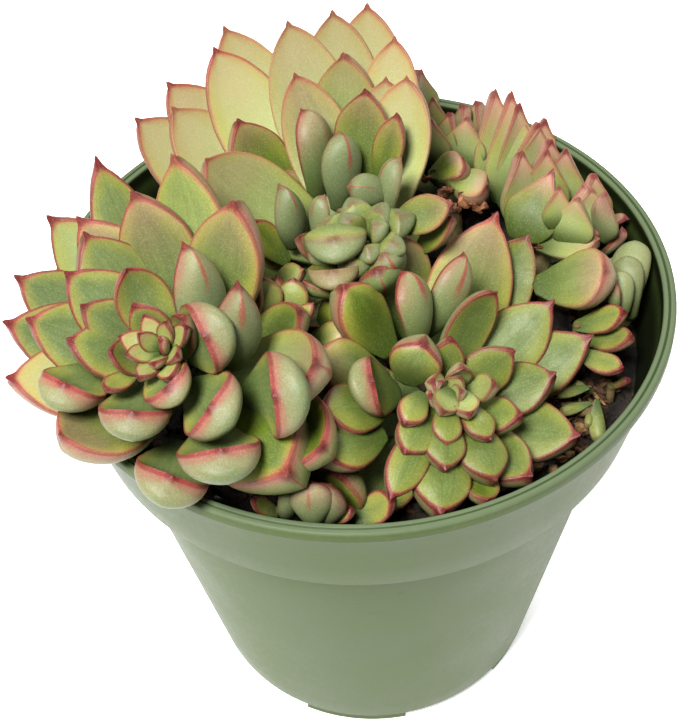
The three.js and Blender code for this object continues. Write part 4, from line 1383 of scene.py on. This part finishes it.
# %% Dry scraps
SCRAPS = [
    # middle of the scrap in the picture, height, length, width, heading in degrees
    ((414, 163), 103, 7.0, 4.0, 70), ((409, 172), 102, 5.5, 3.5, 110), ((420, 180), 101, 5.0, 3.0, 40),
    ((470, 206), 99, 6.0, 4.5, 20), ((456, 210), 98, 4.5, 3.5, 80), ((440, 236), 99, 5.5, 3.5, 120),
    ((446, 196), 99, 4.5, 3.0, 160), ((300, 312), 97, 5.0, 3.0, 60), ((536, 246), 95, 6.0, 4.0, 15),
    ((616, 345), 90, 6.0, 3.5, 140),
]
SCRAP_STEPS = (14, 9)
SCRAP_THICKNESS = 0.35


def scrap(middle, height, length, width, heading, seed):
    line = sight_line(*middle)
    centre = eye + line * ((height - eye.z) / line.z)
    turn = Matrix.Rotation(math.radians(heading), 3, "Z") @ Matrix.Rotation(math.radians(35), 3, "Y")
    columns, rows = SCRAP_STEPS
    tops, bottoms = [], []
    for k in range(columns):
        for j in range(rows):
            u, v = k / (columns - 1) * 2 - 1, j / (rows - 1) * 2 - 1
            narrow = math.sqrt(max(0.03, 1 - u * u * 0.92))
            spot = Vector((u * length / 2, v * width / 2 * narrow, 0))
            crumple = noise.noise_vector(spot * 0.9 + Vector((seed * 7.3, 0, 0))) * 1.5
            spot += crumple + Vector((0, 0, v * v * 1.2))
            tops.append(centre + turn @ spot + Vector((0, 0, SCRAP_THICKNESS / 2)))
            bottoms.append(centre + turn @ spot - Vector((0, 0, SCRAP_THICKNESS / 2)))
    verts = [point * MM for point in tops + bottoms]
    under = columns * rows
    faces = []
    for k in range(columns - 1):
        for j in range(rows - 1):
            a, b, c, d = k * rows + j, (k + 1) * rows + j, (k + 1) * rows + j + 1, k * rows + j + 1
            faces += [(a, b, c, d), (under + d, under + c, under + b, under + a)]
    edge = [k * rows for k in range(columns)] + [(columns - 1) * rows + j for j in range(1, rows)] \
        + [k * rows + rows - 1 for k in range(columns - 2, -1, -1)] + [j for j in range(rows - 2, 0, -1)]
    for here, there in zip(edge, edge[1:] + edge[:1]):
        faces.append((there, here, under + here, under + there))
    return verts, faces


scrap_verts, scrap_faces = [], []
for number, row in enumerate(SCRAPS):
    append(scrap_verts, scrap_faces, *scrap(*row, number))
scrap_mesh = bpy.data.meshes.new("dry_scraps")
scrap_mesh.from_pydata(scrap_verts, [], scrap_faces)
smooth_by_angle(scrap_mesh, 60)
finish_piece(scrap_mesh, "dry_scraps", (), mottled("dry_leaf", shade(58, 32, 18), shade(132, 88, 58), 0.6, 500))
